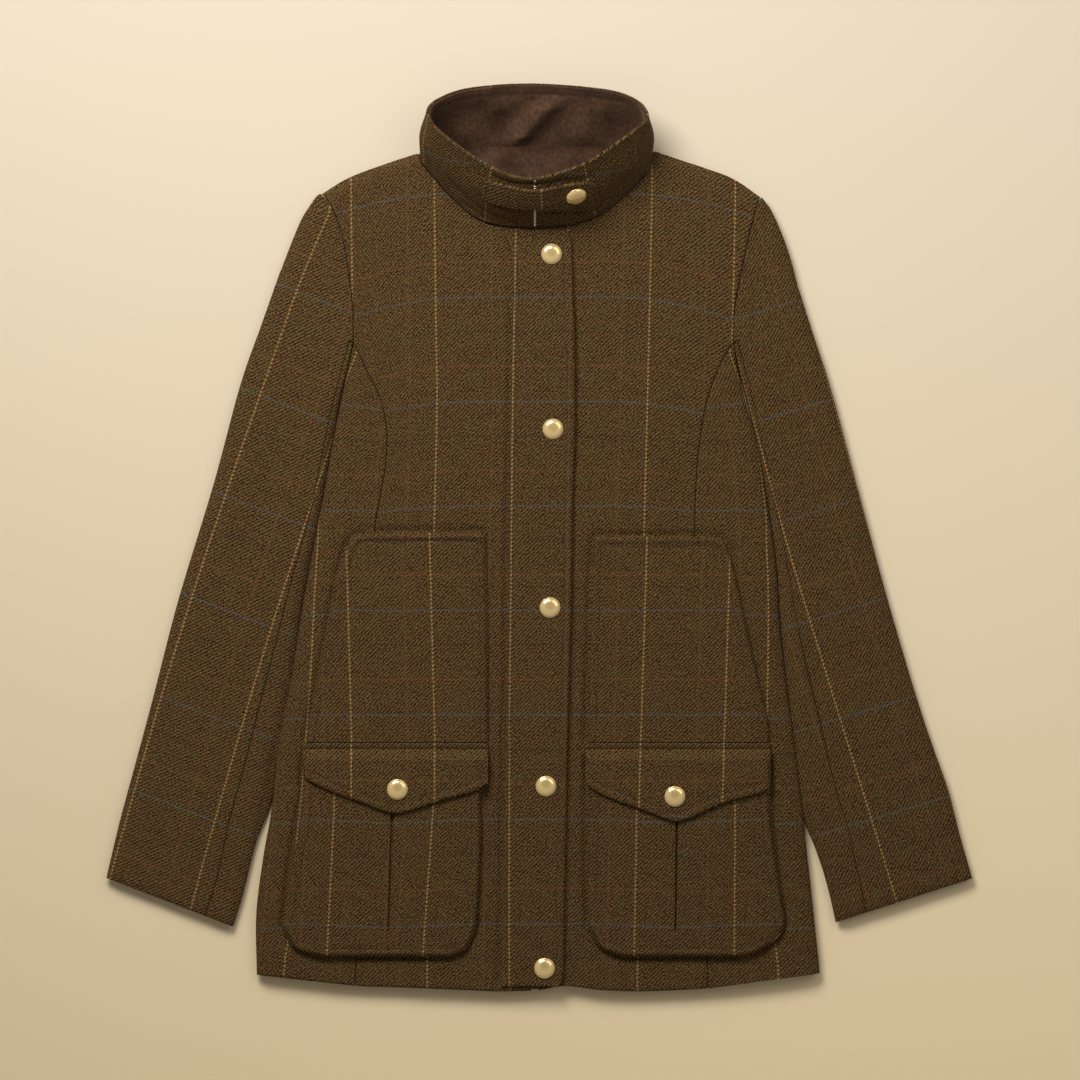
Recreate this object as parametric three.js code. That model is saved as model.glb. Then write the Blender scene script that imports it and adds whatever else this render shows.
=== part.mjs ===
import * as THREE from "three";

// Women's tweed field coat, closed and laid flat on its back, in millimetres.
// +Y runs from the hem to the collar and +Z up from the surface that the back lies on.
// Right and left are the wearer's, so right is at -X. The wearer's right front laps over the left.

// Heights and walls. Each wall is the cloth with its lining and interlining.
const BODY_HEIGHT = 12;
const BODY_WALL = 4.2;
const CAP_HEIGHT = 11.4;
const CUFF_HEIGHT = 10.4;
const SLEEVE_WALL = 3.6;
const COLLAR_WALL = 2.4;
const FACING_WALL = 1.5;
const TAB_WALL = 2.5;
const LAYER = 3;
const LINING_WALL = 1.5;

// Seams and folds
const GAP = 0.3;
const PRINCESS_GAP = 0.2;
const ARMHOLE_GAP = 0.5;
const SEAM_DIP = 0.9;
const SEAM_REACH = 3;
const FOLD_REACH = 14;
const FOLD_STEPS = [0, 0.08, 0.3, 0.62, 1];
const SIDE_FOLD_END = 150;
const UNDERARM = 175;
// The largest share of a panel's width that a side fold, an inner wall and a seam's band take.
const MAX_FOLD_SHARE = 0.45;
const MAX_WALL_SHARE = 0.3;
const MAX_BAND_SHARE = 0.2;
const MAX_SLEEVE_BAND_SHARE = 0.1;

// Front edges and zip
const RIGHT_FRONT_EDGE = -7.1;
const LEFT_FRONT_EDGE = -0.9;
const ZIP_MIDDLE = -4;
const ZIP_WIDTH = 5.6;
const ZIP_THICK = 2.4;
const ZIP_HEIGHT = 10;
const ZIP_BOTTOM = -398;
const ZIP_BEND = 268;
const COLLAR_LEAN = 0.95;
const ZIP_IN_COLLAR = 1.6;
const COLLAR_SLIT = 1.6;

// Snaps
const SNAP_RADIUS = 9.3;
const SNAP_HEIGHT = 3.4;
const SNAP_SIDES = 12;
const SNAP_SEAT = 0.3;

const TWEED = { color: 0x4b3a24, roughness: 0.95, metalness: 0 };
const LINING = { color: 0x33241d, roughness: 0.85, metalness: 0 };
const BRASS = { color: 0xd9b871, roughness: 0.2, metalness: 1 };
const ZIP = { color: 0x3a2f22, roughness: 0.6, metalness: 0.4 };

const { clamp, lerp } = THREE.MathUtils;

// Rows of a table as objects that are read by column name.
function table(columns, rows) {
  const names = columns.split(" ");
  return rows.map((row) => Object.fromEntries(names.map((name, k) => [name, row[k]])));
}

// Body outline: the side folds from hem to underarm, and the armhole seams above them.
const SIDES = table("y right left", [
  [-408, -254.5, 253.6],
  [-392, -254.5, 252.6],
  [-340, -255, 247.2],
  [-290, -249, 241.8],
  [-243, -240.9, 236.6],
  [-191, -235.3, 230.1],
  [-135, -224.8, 222.9],
  [-79, -216, 216.6],
  [-22, -206.2, 212.8],
  [34, -195.1, 204.8],
  [90, -185.3, 194.6],
  [131, -176.9, 183.2],
  [153, -172, 178.3],
  [175, -167, 174.6],
]);
const ARMHOLES = table("y right left", [
  [175, -167, 174.6],
  [205, -167.3, 175.6],
  [240, -171.3, 182],
  [271, -177.1, 188.6],
  [298, -186.8, 195.6],
  [309.3, -196, 200],
]);
const SHOULDERS = {
  right: table("x y", [[-196, 309.3], [-172.2, 323.6], [-137, 337], [-110.4, 345.7]]),
  left: table("x y", [[199, 306.6], [175.2, 322.7], [151.4, 332], [127.3, 340], [104, 347.9]]),
};
const HEM = table("x y", [
  [-254.5, -393.8],
  [-215.4, -398],
  [-164, -403.7],
  [-125.4, -405],
  [-75.9, -407],
  [-35, -408.6],
  [0.6, -407.3],
  [23, -403.7],
  [54.6, -407.3],
  [90.6, -408.6],
  [144.6, -406.4],
  [189.6, -402.8],
  [234.6, -396.5],
  [252.6, -392.4],
]);
const BACK_HEM_RISE = 2;
// How much of the upper edge of a front and of the back each shoulder takes.
const FRONT_SHOULDER_SHARE = 0.4;
const BACK_SHOULDER_SHARE = 0.3;

// Princess seams, from the hem up to the armhole.
const PRINCESS = {
  right: table("y x", [
    [-403.7, -166],
    [-190, -156],
    [7, -148],
    [61, -139],
    [88, -137],
    [103, -138],
    [126.5, -143.7],
    [145, -152.7],
    [158, -159],
    [171.6, -165.7],
  ]),
  left: table("y x", [
    [-405, 151.8],
    [-190, 146],
    [6.8, 140.1],
    [60.8, 141.9],
    [88.7, 144.9],
    [115.8, 149.4],
    [137.3, 155.6],
    [158.9, 164.4],
    [171.6, 172.2],
  ]),
};

// Grid rows of the body, as heights on its side and armhole, the last five over the shoulder fold.
const LOW_ROWS = [-340, -243, -135, -22, 34, 68, 95, 116, 134, 150, 164];
const ARM_ROWS = [175, 205, 240, 271];
const TIP_ROWS = { right: [293, 299.5, 304.5, 308, 309.3], left: [290.3, 296.8, 301.8, 305.3, 306.6] };

// Stand collar: its seam on the neck and its top edge, round from the centre front by the wearer's right.
const COLLAR = table("baseX baseY baseZ topX topY topZ", [
  [-4, 278.5, 11.2, -4, 320.5, 63],
  [-36, 280.5, 11.2, -27, 323.5, 62.5],
  [-58, 288, 11.2, -54, 337, 61],
  [-80, 307, 11.2, -78, 353, 59],
  [-98, 328, 11.5, -97, 370, 55],
  [-108, 342, 11, -101, 384, 50],
  [-97, 348.3, 7.5, -90, 395, 42],
  [-65, 350.5, 3, -62, 404.5, 31],
  [-3, 351.2, 0.6, -6, 408.6, 21],
  [62, 350.5, 3, 60, 403, 31],
  [93, 348.5, 7.5, 88, 393, 42],
  [102, 342, 11, 98, 380, 50],
  [95, 328, 11.5, 93, 370, 55],
  [80, 310, 11.2, 75, 356, 59],
  [56, 291.5, 11.2, 46, 336.5, 61],
  [30, 281.5, 11.2, 19, 326, 62.5],
]);
const COLLAR_BULGE = 3;
const NECK_EDGE_GAP = 0.6;
// Ring places where a front's seam on the collar is measured, from the shoulder to the centre front.
const NECK_PLACES = [4.6, 4.1, 3.5, 3, 2.5, 2, 1.5, 1, 0.5];
const BACK_NECK = table("x y", [[-97, 345.5], [-65, 347.8], [-3, 348.6], [62, 347.8], [93, 346]]);

// Collar tab, sewn on the right of the collar and snapped on the left: ring place and share of the height.
const TAB = table("place low high lift", [
  [1.72, 0.46, 0.79, 0.3],
  [1.4, 0.46, 0.82, 0.8],
  [0.95, 0.49, 0.86, 1.6],
  [0.4, 0.5, 0.86, 2.4],
  [0, 0.5, 0.85, 2.6],
  [-0.6, 0.43, 0.845, 2.2],
  [-1.1, 0.33, 0.81, 1.2],
  [-1.5, 0.235, 0.765, 0.6],
  [-1.8, 0.18, 0.71, 0.4],
  [-1.97, 0.24, 0.62, 0.4],
]);

// Storm placket over the zip, from its bottom up.
const PLACKET = table("y left right", [
  [-404, -33.5, 17.5],
  [-401, -35, 20],
  [-390, -34.6, 22],
  [-311, -33.2, 23.1],
  [-200, -31.6, 25.2],
  [-127, -29.2, 27.2],
  [-46, -28.8, 29.3],
  [34, -27.8, 30.3],
  [100, -25.6, 32.5],
  [190, -24.6, 32.1],
  [215, -22.5, 30.4],
  [255, -25, 29.2],
  [268, -29.3, 28.4],
  [277, -31.5, 24],
]);

// Upper pocket panels and lower bellows pockets: their inner and outer edges at heights on the front.
const POCKET_UPPER = {
  right: table("y outer inner", [
    [-184, -210.2, -45.6],
    [-158.9, -206.4, -45.8],
    [-99.5, -192, -46],
    [-65.9, -186.3, -46.3],
    [-35.4, -180.6, -46.6],
    [-14.5, -175, -47.2],
    [-3.2, -171, -47.6],
    [4.1, -160, -48.1],
  ]),
  left: table("y outer inner", [
    [-184, 207.2, 42.7],
    [-167, 206.4, 43.3],
    [-131.9, 198.6, 44.6],
    [-91.4, 188.7, 45.7],
    [-43.7, 178.8, 47],
    [-13, 170.7, 48.1],
    [-4, 166, 48.5],
    [0.5, 154.5, 48.9],
  ]),
};
const POCKET_LOWER = {
  right: table("y outer inner", [
    [-377, -196, -80],
    [-371.8, -216.3, -67],
    [-362.3, -225.3, -61],
    [-349, -230.8, -56.7],
    [-330.5, -228.6, -55.3],
    [-299, -223.5, -53.4],
    [-263, -216.3, -52.6],
    [-227, -212.7, -53.4],
    [-201, -211.8, -50],
  ]),
  left: table("y outer inner", [
    [-377, 185, 75],
    [-371, 200, 58],
    [-364, 212.5, 50.5],
    [-349, 220.7, 44.6],
    [-323.6, 217.5, 43],
    [-299, 213.8, 43.6],
    [-263, 209, 44.8],
    [-227, 206, 46],
    [-201, 206, 44],
  ]),
};
// Profile of the bellows edge: distances in from the outline and heights, of its outer and inner face.
const BELLOWS_EDGE = table("outer inner top under", [
  [0, 2.5, 12.3, 12.3],
  [0, 2.5, 16.2, 14.6],
  [1.1, 3.2, 17.5, 15.1],
  [3.4, 4.4, 18, 15.5],
]);
// Inverted pleat down the middle of each bellows pocket: its ends, and how far it stands open at the top.
const PLEAT = {
  right: { topX: -132, bottomX: -135.6, open: 3.5 },
  left: { topX: 124, bottomX: 122.6, open: 2 },
};
const PLEAT_TOP = -240;
const PLEAT_BOTTOM = -353;
const PLEAT_DEPTH = 1.8;
const PLEAT_SHOULDER = 1;

// Pocket flaps: their lower edge, and the step from the sewn strip over the pocket's mouth.
const FLAP = {
  right: table("x y", [
    [-212.6, -213.8],
    [-209.7, -217.4],
    [-186.8, -228.5],
    [-159.2, -238.7],
    [-137, -246.9],
    [-128, -248.2],
    [-117, -246],
    [-85.8, -235.9],
    [-56.3, -227.6],
    [-45.9, -221.2],
  ]),
  left: table("x y", [
    [41.8, -221],
    [48.8, -227.3],
    [65.3, -235],
    [92.8, -245],
    [114.9, -253.4],
    [123, -255.5],
    [135, -252.4],
    [166.2, -238.7],
    [202, -228.5],
    [208.2, -223.6],
  ]),
};
const FLAP_TOP = -184.5;
const FLAP_STEP = table("down under", [[0, 12.3], [4.2, 12.3], [5.6, 12.3], [7.5, 13.6], [15.5, 18.3]]);
const FLAP_GROOVE = 0.8;
const FLAP_LIFT = 0.6;
const FLAP_REST = [0.5, 0.9, 1];

// Sleeve sections below the armhole, from the cuff up: outer and inner edge, and the forearm seam's
// distance from the inner edge on the upper face.
const SLEEVE = {
  right: table("outX outY inX inY seam", [
    [-390, -306.5, -275.7, -350.5, 27],
    [-378.3, -257, -265.8, -317.3, 27],
    [-364.2, -204.8, -255.9, -273.2, 28],
    [-347.1, -140.9, -244.6, -222.8, 27],
    [-325.2, -56.3, -228.6, -146, 24],
    [-293.7, 47.3, -214.4, -56.3, 16],
    [-269.4, 137.3, -198.7, 23, 10],
    [-250.5, 191.3, -183.6, 107.6, 6],
    [-233.4, 239.9, -168, 175, 4],
  ]),
  left: table("outX outY inX inY seam", [
    [390, -307, 266.9, -346.5, 29],
    [378.4, -266.9, 259.8, -315.5, 30],
    [368.4, -227.3, 247.8, -273.2, 32],
    [356.1, -193, 238.8, -240.8, 31],
    [339.9, -144.5, 231.4, -187, 26],
    [313.8, -56.3, 220.2, -92, 15],
    [285.9, 47.3, 213.4, -10, 8],
    [261.6, 137.3, 202, 60, 6],
    [245.4, 186.8, 190.6, 115, 5],
    [233.4, 224.6, 175.6, 175, 4],
  ]),
};
// Sleeve cap: the height at which each section meets the armhole seam, and its outer edge.
const CAP = {
  right: table("armY outX outY", [
    [205, -223.7, 264.5],
    [240, -214.1, 287],
    [271, -206.4, 299.3],
    [293, -201.8, 306],
    [299.5, -200, 307.9],
    [304.5, -198.4, 309.2],
  ]),
  left: table("armY outX outY", [
    [205, 226.9, 248.9],
    [240, 218.9, 272.6],
    [271, 209.3, 293.9],
    [290.3, 204.6, 300.8],
    [296.8, 202.9, 303.3],
    [301.8, 201.4, 305.2],
  ]),
};
const SLEEVE_UNDER_REACH = 25;
const UNDERARM_STEP = 0.7;
const LEAST_FOLD = 0.07;
const SLEEVE_FOLD_START = 100;

const NECK_LINING = table("y right left", [
  [250, -104, 98],
  [275, -104, 98],
  [300, -104, 98],
  [325, -104, 98],
  [338, -100, 94],
  [347.5, -90, 84],
]);

// Snaps on the placket, the flaps and the collar tab.
const PLACKET_SNAPS = table("x y", [[11, 255.2], [12.3, 97.7], [9.6, -63], [6, -223.7], [4.7, -387.5]]);
const FLAP_SNAPS = { right: { x: -127.6, y: -226.4 }, left: { x: 121.9, y: -232.7 } };
const TAB_SNAP = { place: -1.3, share: 0.6, lift: 1.15 };

// A smooth function through a table, from one column to another, the rows in rising order of the first.
function through(rows, from, to) {
  const at = rows.map((row) => row[from]);
  const value = rows.map((row) => row[to]);
  const last = at.length - 1;
  function slope(k) {
    const before = Math.max(k - 1, 0);
    const after = Math.min(k + 1, last);
    return (value[after] - value[before]) / (at[after] - at[before]);
  }
  return (x) => {
    let k = 0;
    while (k < last - 1 && x > at[k + 1]) k += 1;
    const step = at[k + 1] - at[k];
    const t = clamp((x - at[k]) / step, 0, 1);
    const rise = value[k + 1] - value[k];
    const curve = t * (1 - t) * ((1 - t) * (slope(k) * step - rise) + t * (rise - slope(k + 1) * step));
    return value[k] + rise * t + curve;
  };
}

// Straight lines between points that are given with their places from 0 to 1.
function polyline(points) {
  return (u) => {
    let k = 0;
    while (k < points.length - 2 && u > points[k + 1].u) k += 1;
    const t = (u - points[k].u) / (points[k + 1].u - points[k].u);
    return [lerp(points[k].x, points[k + 1].x, t), lerp(points[k].y, points[k + 1].y, t)];
  };
}

// A surface in plan that fits four boundary curves, each a function from 0..1 to [x, y].
function patch({ left, right, bottom, top }) {
  return (u, v) => [0, 1].map((axis) => {
    const across = lerp(left(v)[axis], right(v)[axis], u);
    const along = lerp(bottom(u)[axis], top(u)[axis], v);
    const low = lerp(bottom(0)[axis], bottom(1)[axis], u);
    const high = lerp(top(0)[axis], top(1)[axis], u);
    return across + along - lerp(low, high, v);
  });
}

function distanceToLine(rows, x, y) {
  let nearest = Infinity;
  for (let k = 0; k + 1 < rows.length; k += 1) {
    const dx = rows[k + 1].x - rows[k].x;
    const dy = rows[k + 1].y - rows[k].y;
    const t = clamp(((x - rows[k].x) * dx + (y - rows[k].y) * dy) / (dx * dx + dy * dy), 0, 1);
    nearest = Math.min(nearest, Math.hypot(x - rows[k].x - dx * t, y - rows[k].y - dy * t));
  }
  return nearest;
}

// A closed wall of cloth between two equal grids of points, its outer and its inner face.
function closedWall(outer, inner) {
  const rows = outer.length;
  const columns = outer[0].length;
  const points = [...outer.flat(), ...inner.flat()];
  const out = (i, j) => i * columns + j;
  const inn = (i, j) => (rows + i) * columns + j;
  const index = [];
  const quad = (a, b, c, d) => index.push(a, b, c, a, c, d);
  for (let i = 0; i + 1 < rows; i += 1) {
    for (let j = 0; j + 1 < columns; j += 1) {
      quad(out(i, j), out(i, j + 1), out(i + 1, j + 1), out(i + 1, j));
      quad(inn(i, j), inn(i + 1, j), inn(i + 1, j + 1), inn(i, j + 1));
    }
  }
  for (let j = 0; j + 1 < columns; j += 1) {
    quad(out(0, j), inn(0, j), inn(0, j + 1), out(0, j + 1));
    quad(out(rows - 1, j + 1), inn(rows - 1, j + 1), inn(rows - 1, j), out(rows - 1, j));
  }
  for (let i = 0; i + 1 < rows; i += 1) {
    quad(out(i + 1, 0), inn(i + 1, 0), inn(i, 0), out(i, 0));
    quad(out(i, columns - 1), inn(i, columns - 1), inn(i + 1, columns - 1), out(i + 1, columns - 1));
  }
  if (volumeOf(points, index) < 0) index.reverse();
  const geometry = new THREE.BufferGeometry();
  geometry.setAttribute("position", new THREE.Float32BufferAttribute(points.flat(), 3));
  geometry.setIndex(index);
  geometry.computeVertexNormals();
  return geometry;
}

function volumeOf(points, index) {
  let sum = 0;
  for (let k = 0; k < index.length; k += 3) {
    const [a, b, c] = [0, 1, 2].map((n) => points[index[k + n]]);
    sum += a[0] * (b[1] * c[2] - b[2] * c[1]);
    sum += a[1] * (b[2] * c[0] - b[0] * c[2]);
    sum += a[2] * (b[0] * c[1] - b[1] * c[0]);
  }
  return sum / 6;
}

const coat = new THREE.Group();
function add(name, geometry, finish) {
  const mesh = new THREE.Mesh(geometry, new THREE.MeshStandardMaterial(finish));
  mesh.name = name;
  coat.add(mesh);
  return mesh;
}

// Body outline as functions
const sideX = { right: through(SIDES, "y", "right"), left: through(SIDES, "y", "left") };
const armholeX = { right: through(ARMHOLES, "y", "right"), left: through(ARMHOLES, "y", "left") };
const hemY = through(HEM, "x", "y");
const outwards = { right: -1, left: 1 };
const tipY = { right: TIP_ROWS.right.at(-1), left: TIP_ROWS.left.at(-1) };
const shoulderLine = Object.fromEntries(["right", "left"].map((side) => {
  const rising = [...SHOULDERS[side]].sort((a, b) => a.x - b.x);
  return [side, through(rising, "x", "y")];
}));
const princessX = Object.fromEntries(["right", "left"].map((side) => {
  const armhole = ARMHOLES.map((row) => ({ y: row.y, x: row[side] }));
  return [side, through([...PRINCESS[side], ...armhole], "y", "x")];
}));
const bodyEdgeX = (side, y) => (y <= UNDERARM ? sideX[side](y) : armholeX[side](y));

// Roundness of a fold: 0 at its edge and 1 from its reach inwards.
const foldRise = (share) => Math.sqrt(1 - (1 - clamp(share, 0, 1)) ** 2);
const sideFoldShare = (y) => clamp((UNDERARM - y) / (UNDERARM - SIDE_FOLD_END), 0, 1);

// How full the body stands at a point, from 0 on the edge of a side or shoulder fold to 1.
function bodyFold(side, x, y) {
  const fromSide = clamp(Math.abs(sideX[side](y) - x) / FOLD_REACH, 0, 1);
  const fromShoulder = clamp(distanceToLine(SHOULDERS[side], x, y) / FOLD_REACH, 0, 1);
  const sideShare = y > UNDERARM ? 0 : sideFoldShare(y);
  const sideRise = 1 - sideShare * (1 - foldRise(fromSide));
  return {
    rise: Math.min(sideRise, foldRise(fromShoulder)),
    sideInset: BODY_WALL * (1 - fromSide) * sideShare,
    shoulderInset: BODY_WALL * (1 - fromShoulder),
  };
}
const MIDDLE = BODY_HEIGHT / 2;
const faceHeight = (rise) => GAP / 2 + (MIDDLE - GAP / 2) * rise;
const insideHeight = (rise) => GAP / 2 + (MIDDLE - BODY_WALL - GAP / 2) * rise;

// Points on the collar: its outer face, pushed inwards by a depth, at a ring place and share of height.
function ringPoint(place, column) {
  const count = COLLAR.length;
  const wrapped = ((place % count) + count) % count;
  const k = Math.floor(wrapped);
  const t = wrapped - k;
  const [a, b, c, d] = [-1, 0, 1, 2].map((n) => COLLAR[(k + n + count) % count][column]);
  return b + 0.5 * t * (c - a + t * (2 * a - 5 * b + 4 * c - d + t * (3 * (b - c) + d - a)));
}
function collarSurface(place, share) {
  const base = new THREE.Vector3(...["baseX", "baseY", "baseZ"].map((name) => ringPoint(place, name)));
  const top = new THREE.Vector3(...["topX", "topY", "topZ"].map((name) => ringPoint(place, name)));
  return base.lerp(top, share);
}
function collarNormal(place, share) {
  const along = collarSurface(place + 0.1, share).sub(collarSurface(place - 0.1, share));
  const up = collarSurface(place, 1).sub(collarSurface(place, 0));
  return along.cross(up).normalize();
}
function collarPoint(place, share, depth) {
  const inwards = depth - COLLAR_BULGE * Math.sin(Math.PI * share) ** 2;
  return collarSurface(place, share).addScaledVector(collarNormal(place, share), inwards);
}
// The ring place on each side of the centre front that leaves the slit for the zip.
function slitPlace(clearance) {
  const perPlace = (COLLAR.at(1).baseX - COLLAR.at(-1).baseX) / 2;
  return clearance / Math.abs(perPlace);
}

// The seam of each front on the collar, from the shoulder to the front edge.
function neckEdge(side) {
  const sign = side === "right" ? 1 : -1;
  const points = NECK_PLACES.map((place) => {
    const onRing = collarSurface(sign * place, 0);
    const outward = collarNormal(sign * place, 0).setZ(0).normalize();
    onRing.addScaledVector(outward, -NECK_EDGE_GAP);
    return { x: onRing.x, y: onRing.y };
  });
  const edge = side === "right" ? RIGHT_FRONT_EDGE : LEFT_FRONT_EDGE;
  return [...points, { x: edge, y: COLLAR[0].baseY - NECK_EDGE_GAP }];
}

// Front panels, from the princess seam to the front edge, with half of the shoulder fold at the top.
for (const side of ["right", "left"]) {
  const edge = side === "right" ? RIGHT_FRONT_EDGE : LEFT_FRONT_EDGE;
  const inset = -outwards[side] * PRINCESS_GAP;
  const outerX = (y) => princessX[side](y) + (y < UNDERARM ? inset : 0);
  const hemAtSeam = hemY(outerX(PRINCESS[side][0].y));
  const length = tipY[side] - hemAtSeam;
  const neck = neckEdge(side);
  const shoulderShare = FRONT_SHOULDER_SHARE;
  const shoulderColumns = spread(0, shoulderShare, 4);
  const [tip, neckPoint] = [SHOULDERS[side][0], SHOULDERS[side].at(-1)];
  const top = polyline([
    ...shoulderColumns.map((u) => {
      const x = lerp(tip.x, neckPoint.x, u / shoulderShare);
      return { u, x, y: shoulderLine[side](x) };
    }),
    ...neck.map((point, k) => ({ u: lerp(shoulderShare, 1, (k + 1) / neck.length), ...point })),
  ]);
  const bottom = (u) => {
    const x = lerp(outerX(hemAtSeam), edge, u);
    return [x, hemY(x)];
  };
  const plan = patch({
    left: (v) => [outerX(lerp(hemAtSeam, tipY[side], v)), lerp(hemAtSeam, tipY[side], v)],
    right: (v) => [edge, lerp(hemY(edge), neck.at(-1).y, v)],
    bottom,
    top,
  });
  const heights = [hemAtSeam, hemAtSeam + SEAM_REACH, ...LOW_ROWS, ...ARM_ROWS, ...TIP_ROWS[side]];
  const columnsAt = (width) => [
    0,
    SEAM_REACH / width,
    ...shoulderColumns.slice(1),
    ...neck.map((_, k) => lerp(shoulderShare, 1, (k + 1) / neck.length)),
  ];
  const outer = [];
  const inner = [];
  heights.forEach((height, i) => {
    const v = (height - hemAtSeam) / length;
    const columns = columnsAt(Math.abs(edge - outerX(height)));
    outer.push(columns.map((u, j) => {
      const [x, y] = plan(u, v);
      const dip = i === 0 || j === 0 ? SEAM_DIP : 0;
      const { rise } = bodyFold(side, x, y);
      return [x, y, MIDDLE + Math.max(faceHeight(rise) - dip, GAP / 2)];
    }));
    inner.push(columns.map((u) => {
      const fold = bodyFold(side, ...plan(u, v));
      const [x, y] = plan(u, v - fold.shoulderInset / length);
      return [x, y, MIDDLE + insideHeight(fold.rise)];
    }));
  });
  add(`front_${side}`, closedWall(outer, inner), TWEED);
}

// Side fronts, from the side fold to the princess seam.
for (const side of ["right", "left"]) {
  const seamX = (y) => princessX[side](y) + outwards[side] * PRINCESS_GAP;
  const hemAtSeam = hemY(seamX(PRINCESS[side][0].y));
  const hemAtSide = hemY(sideX[side](SIDES[1].y));
  const topAtSeam = PRINCESS[side].at(-1).y;
  const heights = [hemAtSeam, hemAtSeam + SEAM_REACH, ...LOW_ROWS, topAtSeam];
  const outer = [];
  const inner = [];
  heights.forEach((height, i) => {
    const share = (height - hemAtSeam) / (topAtSeam - hemAtSeam);
    const y = lerp(hemAtSide, UNDERARM - GAP, share);
    const from = [sideX[side](y), y];
    const to = [seamX(height), height];
    const width = Math.hypot(to[0] - from[0], to[1] - from[1]);
    const reach = Math.min(FOLD_REACH, MAX_FOLD_SHARE * width);
    const band = Math.min(SEAM_REACH, MAX_BAND_SHARE * width);
    const distances = [
      ...FOLD_STEPS.map((step) => step * reach),
      lerp(reach, width - band, 0.5),
      width - band,
      width,
    ];
    const at = (distance) => [0, 1].map((axis) => lerp(from[axis], to[axis], distance / width));
    outer.push(distances.map((distance, j) => {
      const [x, yHere] = at(distance);
      const dip = i === 0 || j === distances.length - 1 ? SEAM_DIP : 0;
      const { rise } = bodyFold(side, x, yHere);
      return [x, yHere, MIDDLE + Math.max(faceHeight(rise) - dip, GAP / 2)];
    }));
    inner.push(distances.map((distance) => {
      const [x, yHere] = at(distance);
      const fold = bodyFold(side, x, yHere);
      const inset = Math.min(fold.sideInset, MAX_WALL_SHARE * (width - distance));
      return [...at(distance + inset), MIDDLE + insideHeight(fold.rise)];
    }));
  });
  add(`side_front_${side}`, closedWall(outer, inner), TWEED);
}

// Back, the whole outline, with the other half of the side and shoulder folds. It lies on the surface.
{
  const hemAt = (x) => hemY(x) + BACK_HEM_RISE;
  const hemSide = { right: hemAt(-254.5), left: hemAt(252.6) };
  const neckPoint = { right: SHOULDERS.right.at(-1), left: SHOULDERS.left.at(-1) };
  const shoulderShare = BACK_SHOULDER_SHARE;
  const alongShoulder = [0, 0.25, 0.5, 0.75, 1];
  const shoulderAt = (side, t) => {
    const x = lerp(SHOULDERS[side][0].x, neckPoint[side].x, t);
    return { x, y: shoulderLine[side](x) };
  };
  const top = polyline([
    ...alongShoulder.map((t) => ({ u: t * shoulderShare, ...shoulderAt("right", t) })),
    ...BACK_NECK.map((row, k) => ({
      u: lerp(shoulderShare, 1 - shoulderShare, (k + 1) / (BACK_NECK.length + 1)),
      ...row,
    })),
    ...alongShoulder.toReversed().map((t) => ({ u: 1 - t * shoulderShare, ...shoulderAt("left", t) })),
  ]);
  const boundary = (side) => (v) => {
    const y = lerp(hemSide[side], tipY[side], v);
    return [bodyEdgeX(side, y), y];
  };
  const plan = patch({
    left: boundary("right"),
    right: boundary("left"),
    bottom: (u) => {
      const x = lerp(sideX.right(hemSide.right), sideX.left(hemSide.left), u);
      return [x, hemAt(x)];
    },
    top,
  });
  const heights = [
    hemSide.right,
    ...LOW_ROWS.filter((_, k) => k < 5 || k % 2 === 0),
    ...ARM_ROWS,
    ...TIP_ROWS.right,
  ];
  const outer = [];
  const inner = [];
  for (const height of heights) {
    const v = (height - hemSide.right) / (tipY.right - hemSide.right);
    const width = boundary("left")(v)[0] - boundary("right")(v)[0];
    const foldColumns = FOLD_STEPS.map((step) => (step * FOLD_REACH) / width);
    const middleColumns = [0.075, 0.15, 0.225, 0.3, 0.3667, 0.4333, 0.5];
    const half = [...foldColumns, ...middleColumns];
    const columns = [...half, ...half.slice(0, -1).toReversed().map((u) => 1 - u)];
    outer.push(columns.map((u) => {
      const [x, y] = plan(u, v);
      const { rise } = bodyFold(u < 0.5 ? "right" : "left", x, y);
      return [x, y, MIDDLE - faceHeight(rise)];
    }));
    inner.push(columns.map((u) => {
      const fold = bodyFold(u < 0.5 ? "right" : "left", ...plan(u, v));
      const inwards = (u < 0.5 ? 1 : -1) * (fold.sideInset / width);
      const [x, y] = plan(u + inwards, v - fold.shoulderInset / (tipY.right - hemSide.right));
      return [x, y, MIDDLE - insideHeight(fold.rise)];
    }));
  }
  add("back", closedWall(outer, inner), TWEED);
}

// Sleeve sections: a plan line from the inner to the outer edge, and the folds at both ends.
function sleeveSections(side) {
  const below = SLEEVE[side].map((row) => {
    const inFold = clamp((UNDERARM - row.inY) / (UNDERARM - SLEEVE_FOLD_START), 0, 1);
    return { ...row, inFold };
  });
  const above = CAP[side].map((row) => {
    const slope = armholeX[side](row.armY + 1) - armholeX[side](row.armY - 1);
    const outward = new THREE.Vector2(outwards[side] * 2, -slope * outwards[side]).normalize();
    return {
      outX: row.outX,
      outY: row.outY,
      inX: armholeX[side](row.armY) + outward.x * ARMHOLE_GAP,
      inY: row.armY + outward.y * ARMHOLE_GAP,
      seam: 0,
      inFold: 0,
    };
  });
  return { below, above };
}
function sleeveHeight(section) {
  const share = clamp((section.outY - SLEEVE.right[0].outY) / (tipY.right - SLEEVE.right[0].outY), 0, 1);
  return lerp(CUFF_HEIGHT, CAP_HEIGHT, share);
}
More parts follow.
